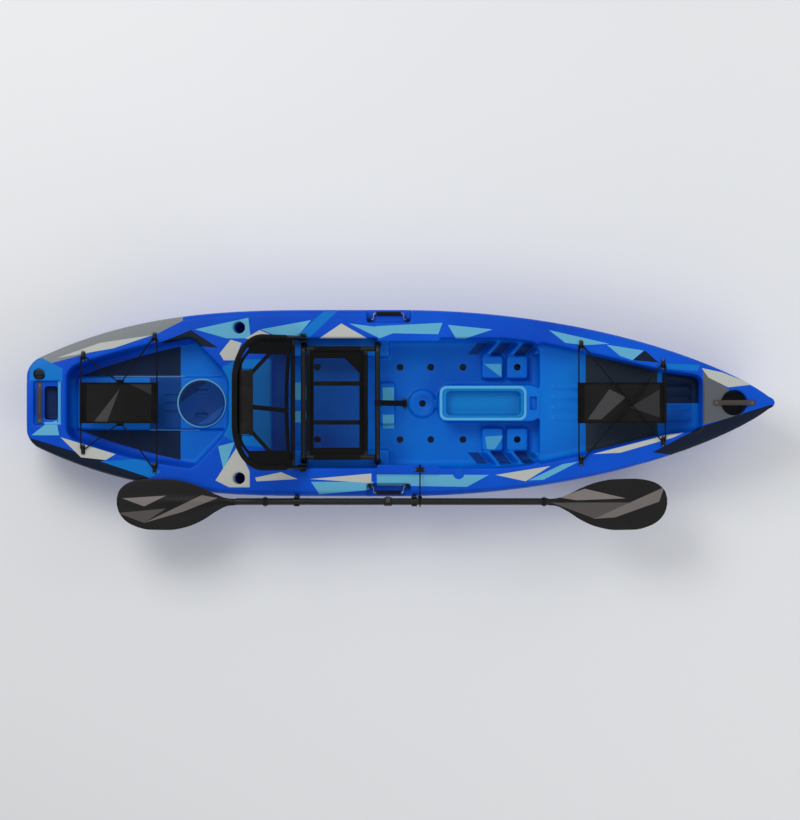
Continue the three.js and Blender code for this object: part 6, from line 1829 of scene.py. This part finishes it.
pad = pad_block("head_pad_fine", 3.0)
modify(pad, "REMESH", mode="VOXEL", voxel_size=PAD_CELL * MM)
before = np.array([v.co[:] for v in pad.data.vertices])
choose(pad)
cloth = pad.modifiers.new("cloth", "CLOTH")
cloth.settings.use_pressure = True
cloth.settings.uniform_pressure_force = 4
cloth.settings.effector_weights.gravity = 0
for step in range(1, 21):
    bpy.context.scene.frame_set(step)
bpy.ops.object.modifier_apply(modifier="cloth")
bpy.context.scene.frame_set(1)
after = np.array([v.co[:] for v in pad.data.vertices])
move = after - before
reach = np.linalg.norm(move, axis=1, keepdims=True)
capped = before + move * np.minimum(1, LARGEST_MOVE / np.maximum(reach, 1e-9))
for vertex, spot in zip(pad.data.vertices, capped):
    vertex.co = spot
modify(pad, "SUBSURF", levels=1)
for vertex in pad.data.vertices:
    co = vertex.co / MM
    face = max(min((co.x - PAD_BACK - 6) / 8, 1), 0)
    rib = math.cos(2 * math.pi * (co.y + PAD_HALF) / 12)
    outwards = max(abs(co.y) / (PAD_HALF - 10), abs(co.z - PAD_TOP + PAD_RISE) / 40)
    inside = 1 - smoothstep(outwards, 0.86, 1.0)
    vertex.co.x += (0.55 * rib * face * inside) * MM
    vertex.co.x = max(vertex.co.x, (PAD_BACK + 0.1) * MM)
placed(smooth(pad, 60), lean_back)
dressed(pad, pad_cloth, "backrest", "head_pad", slot="pad_fabric")


def pad_edge(x, inset):
    """A loop round the pad's edge, with the block's narrowing and rounded corners."""
    loop = []
    for k in range(120):
        t = 2 * math.pi * k / 120
        c, s = math.cos(t), math.sin(t)
        y = (PAD_HALF - inset) * math.copysign(abs(c) ** 0.22, c)
        z = PAD_TOP - PAD_RISE + (PAD_RISE - inset) * math.copysign(abs(s) ** 0.22, s)
        y -= math.copysign(6 * (1 - ((z - PAD_TOP + PAD_RISE) / PAD_RISE) ** 2), y)
        loop.append((x, y, z))
    return loop


piping = smooth(swept("head_pad_piping", pad_edge(PAD_BACK + 6.2, 3.4), section(1.7, 12), closed=True), 60)
dressed(placed(piping, lean_back), binding, "backrest")

# %% [markdown]
# ## Tie-down strap
# A webbing strap runs from the front leg frame to the anchor on the cockpit floor and holds the seat down.
# Its tail is folded back over it.

# %% Strap, loops and tail
TIE_HALF = 12.5
tie_top = Vector(at_seat(SEAT_DEPTH, 0, SEAT_Z))
tie_foot = Vector((22, 0, COCKPIT_FLOOR + SEAT_GAP + 18))
slope = (tie_foot - tie_top).normalized()
facing = Vector((-slope.z, 0, slope.x))
run = [tie_top.lerp(tie_foot, t) for t in np.linspace(0.06, 0.965, 20)]
tie = flat_strap("tie_web", run, [facing] * len(run), TIE_HALF, 1.8)
across = Vector((0, 1, 0))
top_loop = bar("tie_loop", tie_top - across * TIE_HALF, tie_top + across * TIE_HALF, 13.2, 32)
cut(top_loop, bar("tube_space", tie_top - across * 20, tie_top + across * 20, 11.35, 32))
foot_loop = bar("tie_loop", tie_foot - across * 4.6, tie_foot + across * 4.6, 6.4, 24)
cut(foot_loop, bar("arch_space", tie_foot - across * 20, tie_foot + across * 20, 4.4, 24))
tail = flat_strap("tie_tail", [p + facing * 1.7 for p in run[8:13]], [facing] * 5, 12.0, 1.4)
tie = joined("tie_down_strap_fine", [tie, smooth(top_loop), smooth(foot_loop), tail])
dressed(tie, webbing, "hull", "tie_down_strap", slot="webbing")

# %% [markdown]
# ## Paddle
# A two-piece paddle lies in cradles along the starboard side, blades flat. The halves meet in a ferrule
# under a clamp with a lever, which lets the blades be feathered. Rubber drip rings stop water on its way to
# the hands.

# %% Shafts and drip rings
PADDLE_Y = -(HALF_BEAM + 22)
PADDLE = Vector((-35, PADDLE_Y, GUNWALE + 35))
PADDLE_HALF, BLADE_LENGTH = 1200, 520
NECK = PADDLE_HALF - BLADE_LENGTH


def along_paddle(name, profile, sides=40):
    return turned(name, profile, sides, PADDLE, (1, 0, 0))


aft_profile = [(13.2, -NECK), (15, -NECK), (15, -1.2), (14.4, -0.4), (13.2, -0.4)]
fore_profile = [(11, -120), (12.3, -120), (12.9, -118), (12.9, 0.2), (14.4, 0.4), (15, 1.2)]
fore_profile += [(15, NECK), (13.2, NECK), (13.2, 30), (11, 20)]
ring_profile = [(15.3, -11), (17.2, -11), (17.6, -9), (17.8, -4), (20.5, -1.6), (24, -0.9)]
ring_profile += [(radius, -height) for radius, height in reversed(ring_profile)]
aft = along_paddle("paddle_shaft_aft_fine", aft_profile)
dressed(aft, shaft_coat, "paddle_aft", "paddle_shaft_aft", slot="paddle_shaft")
fore = along_paddle("paddle_shaft_fore_fine", fore_profile)
dressed(fore, shaft_coat, "paddle_fore", "paddle_shaft_fore", slot="paddle_shaft")
for end, x in (("aft", 128 - NECK), ("fore", NECK - 18)):
    ring = along_paddle(f"drip_ring_{end}_fine", [(radius, x + z) for radius, z in ring_profile], 48)
    dressed(ring, black_rubber, f"paddle_{end}", f"drip_ring_{end}", slot="black_rubber")


# %% Blades
OUTLINE = [
    (0, 0.13, 0.12), (0.06, 0.15, 0.14), (0.16, 0.34, 0.3), (0.28, 0.66, 0.6), (0.42, 0.9, 0.86),
    (0.56, 1, 0.98), (0.72, 0.99, 1), (0.86, 0.84, 0.9), (0.94, 0.62, 0.7), (0.985, 0.34, 0.42),
    (1, 0.1, 0.14),
]
HALF_CHORD = [0.06, 0.12, 0.2, 0.35, 0.55, 0.75, 0.9, 0.97, 1]
CHORD = [-share for share in reversed(HALF_CHORD)] + [0] + HALF_CHORD
BLADE_INNER, BLADE_OUTER = 100, 124


def blade(name, toward):
    """A blade as a loft along its length, with a spine that fades out and a neck that grips the shaft."""
    curve = steady_curve([(a * 2.2, o, i) for a, o, i in OUTLINE], 6)
    rings = []
    for along, outer, inner in [(a / 2.2, o, i) for a, o, i in curve]:
        x = NECK + 0.3 + along * (BLADE_LENGTH - 0.3)
        lift = -16 * along**2
        neck = max(1 - along * BLADE_LENGTH / 60, 0)
        neck = neck * neck * (3 - 2 * neck)

        def thick(share):
            spine = 9 * (1 - along) * max(1 - (share * 4) ** 2, 0) ** 1.5
            round_neck = neck * 13.5 * math.sqrt(max(1 - share * share, 0))
            edge = 1.5 * math.sqrt(max(1 - abs(share) ** 12, 0.04))
            return edge + max(spine, round_neck)

        def wide(share):
            return share * (BLADE_INNER * inner if share > 0 else BLADE_OUTER * outer)

        def dish(share):
            return -2.5 * math.sin(math.pi * min(along * 1.4, 1)) * (1 - share * share)

        top = [(toward * x, wide(s), lift + dish(s) * 0.6 + thick(s)) for s in CHORD]
        low = [(toward * x, wide(s), lift + dish(s) * 0.6 - thick(s)) for s in reversed(CHORD)]
        rings.append([Vector(p) + PADDLE for p in top + low])
    return smooth(lofted(name, rings), 50)


for end, toward in (("aft", -1), ("fore", 1)):
    piece = blade(f"paddle_blade_{end}_fine", toward)
    dressed(piece, blade_plastic, f"paddle_{end}", f"paddle_blade_{end}", slot="paddle_blade")

# %% Ferrule clamp
COLLAR_MIDDLE, COLLAR_RADIUS, HUB_HALF, HUB_RADIUS = -17.3, 18.6, 9, 4.4
PIN_UP = COLLAR_RADIUS + 0.3 + HUB_RADIUS


def on_pin(name, half, radius, sides):
    """A bar on the lever's axis, which lies along the shaft."""
    ends = [PADDLE + Vector((COLLAR_MIDDLE + x, 0, PIN_UP)) for x in (-half, half)]
    return bar(name, *ends, radius, sides)


collar_profile = [(15.3, -34.3), (17.4, -34.3), (COLLAR_RADIUS, -33)]
collar_profile += [(COLLAR_RADIUS, -1.6), (17.4, -0.3), (15.3, -0.3)]
collar = along_paddle("ferrule_collar_fine", collar_profile, 48)
lugs = []
for toward in (1, -1):
    far, near = span(toward, 9.3, 17)
    low = PADDLE + Vector((COLLAR_MIDDLE + near, -3.4, 17.4))
    high = PADDLE + Vector((COLLAR_MIDDLE + far, 3.4, PIN_UP + 3.4))
    lugs.append(softened_box("lug", low, high, 1.2, 3))
collar = joined("ferrule_collar_fine", [collar, *lugs, on_pin("pin", 16.6, 2.4, 20)])
dressed(collar, black_plastic, "paddle_aft", "ferrule_collar", slot="black_plastic")

inner, outer = 18.9, 22.3
sweep = [math.pi / 2 - math.radians(130) * t for t in np.linspace(0, 1, 30)]
arc = [(outer * math.cos(t), outer * math.sin(t)) for t in sweep]
arc += [(inner * math.cos(t), inner * math.sin(t)) for t in reversed(sweep)]
lever_end = PADDLE + Vector((COLLAR_MIDDLE - HUB_HALF, 0, 0))
lever_outline = [lever_end + Vector((0, y, z)) for y, z in arc]
lever = plate("ferrule_lever_fine", lever_outline, (2 * HUB_HALF, 0, 0), 0.8)
hub = on_pin("hub", HUB_HALF, HUB_RADIUS, 28)
cut(hub, on_pin("pin_space", 12, 2.7, 24))
lever = joined("ferrule_lever_fine", [lever, hub])
dressed(lever, grey_rubber, "ferrule_lever", "ferrule_lever", slot="grey_rubber")

# %% [markdown]
# ## Cradles and keeper
# Two cradles bolted to the hull's side carry the shaft, and a cord over the shaft keeps it there. Both of the
# cord's ends are on the hull.

# %% Cradles
CRADLE_X = {"fore": 62, "aft": -450}
CRADLE_FOOT, WALL_GAP = 226, 0.5
CRADLE_BOLT = [(0, 0), (4.4, 0), (4.1, 1.4), (2, 2.3), (0, 2.4)]
for end, x in CRADLE_X.items():
    wall = half_breadth(x) + WALL_GAP
    centre = -(wall + PADDLE_Y)
    inner, outer, top = 15.4, 20.4, 8
    arc = np.linspace(0, -math.pi, 30)
    cup = [(inner * math.cos(t), inner * math.sin(t)) for t in arc]
    rim = [(-inner, top - 0.6), (-inner - 1.2, top), (-outer + 1.2, top), (-outer, top - 1.2)]
    back = [(outer * math.cos(t), outer * math.sin(t)) for t in np.linspace(-math.pi, -math.pi * 0.30, 20)]
    back_plate = [(centre - 5, -22), (centre - 5, CRADLE_FOOT - PADDLE.z), (centre, CRADLE_FOOT - PADDLE.z)]
    back_plate += [(centre, -2), (outer, 0)]
    back_plate += [(-y, z) for y, z in reversed(rim)]
    shape = cup + rim + back + back_plate
    outline = [(x - 12, PADDLE.y + y, PADDLE.z + z) for y, z in shape]
    cradle = plate(f"paddle_cradle_{end}_fine", outline, (24, 0, 0), 0.8)
    bolts = [turned("bolt", CRADLE_BOLT, 24, (x, -wall - 5, z), (0, -1, 0)) for z in (238, 262)]
    dressed(cradle, black_plastic, "hull", f"paddle_cradle_{end}", slot="black_plastic")
    dressed(joined(f"cradle_bolts_{end}", bolts), steel_wire, "hull")

# %% Keeper cleat and cord
CLEAT_TOP, KEEPER_TURN = 244, 21.6
keeper_wall = -(half_breadth(KEEPER_X) + WALL_GAP)
low, high = (KEEPER_X - 10, keeper_wall - 10, CLEAT_TOP - 14), (KEEPER_X + 10, keeper_wall, CLEAT_TOP)
cleat = softened_box("keeper_cleat_fine", low, high, 2.4, 4)
dressed(cleat, black_plastic, "hull", "keeper_cleat", slot="black_plastic")
start = Vector((KEEPER_X, KEEPER_Y + 14, GEAR_PAD_TOP + SEAT_GAP + 8))
end = Vector((KEEPER_X, keeper_wall - 5, CLEAT_TOP + SEAT_GAP + 1.5))
shaft = Vector((KEEPER_X, PADDLE.y, PADDLE.z))
keeper_route = cord_corners([(start, 0), (shaft, KEEPER_TURN), (end, 0)])
cord = tube("keeper", keeper_route, CORD_RADIUS, KEEPER_TURN, 14, 14)
knot_profile = [(0, 0), (3.6, 0.2), (5, 2.4), (5, 6.4), (3.6, 8.8), (0, 9)]
knot = turned("knot", knot_profile, 24, start, (0, 1, 0))
keeper_cord = joined("keeper_cord_fine", [cord, knot])
keeper_cord.data.materials.clear()
keeper_cord.data.materials.append(bungee_sheath.material)
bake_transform(keeper_cord)
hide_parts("keeper_cord")
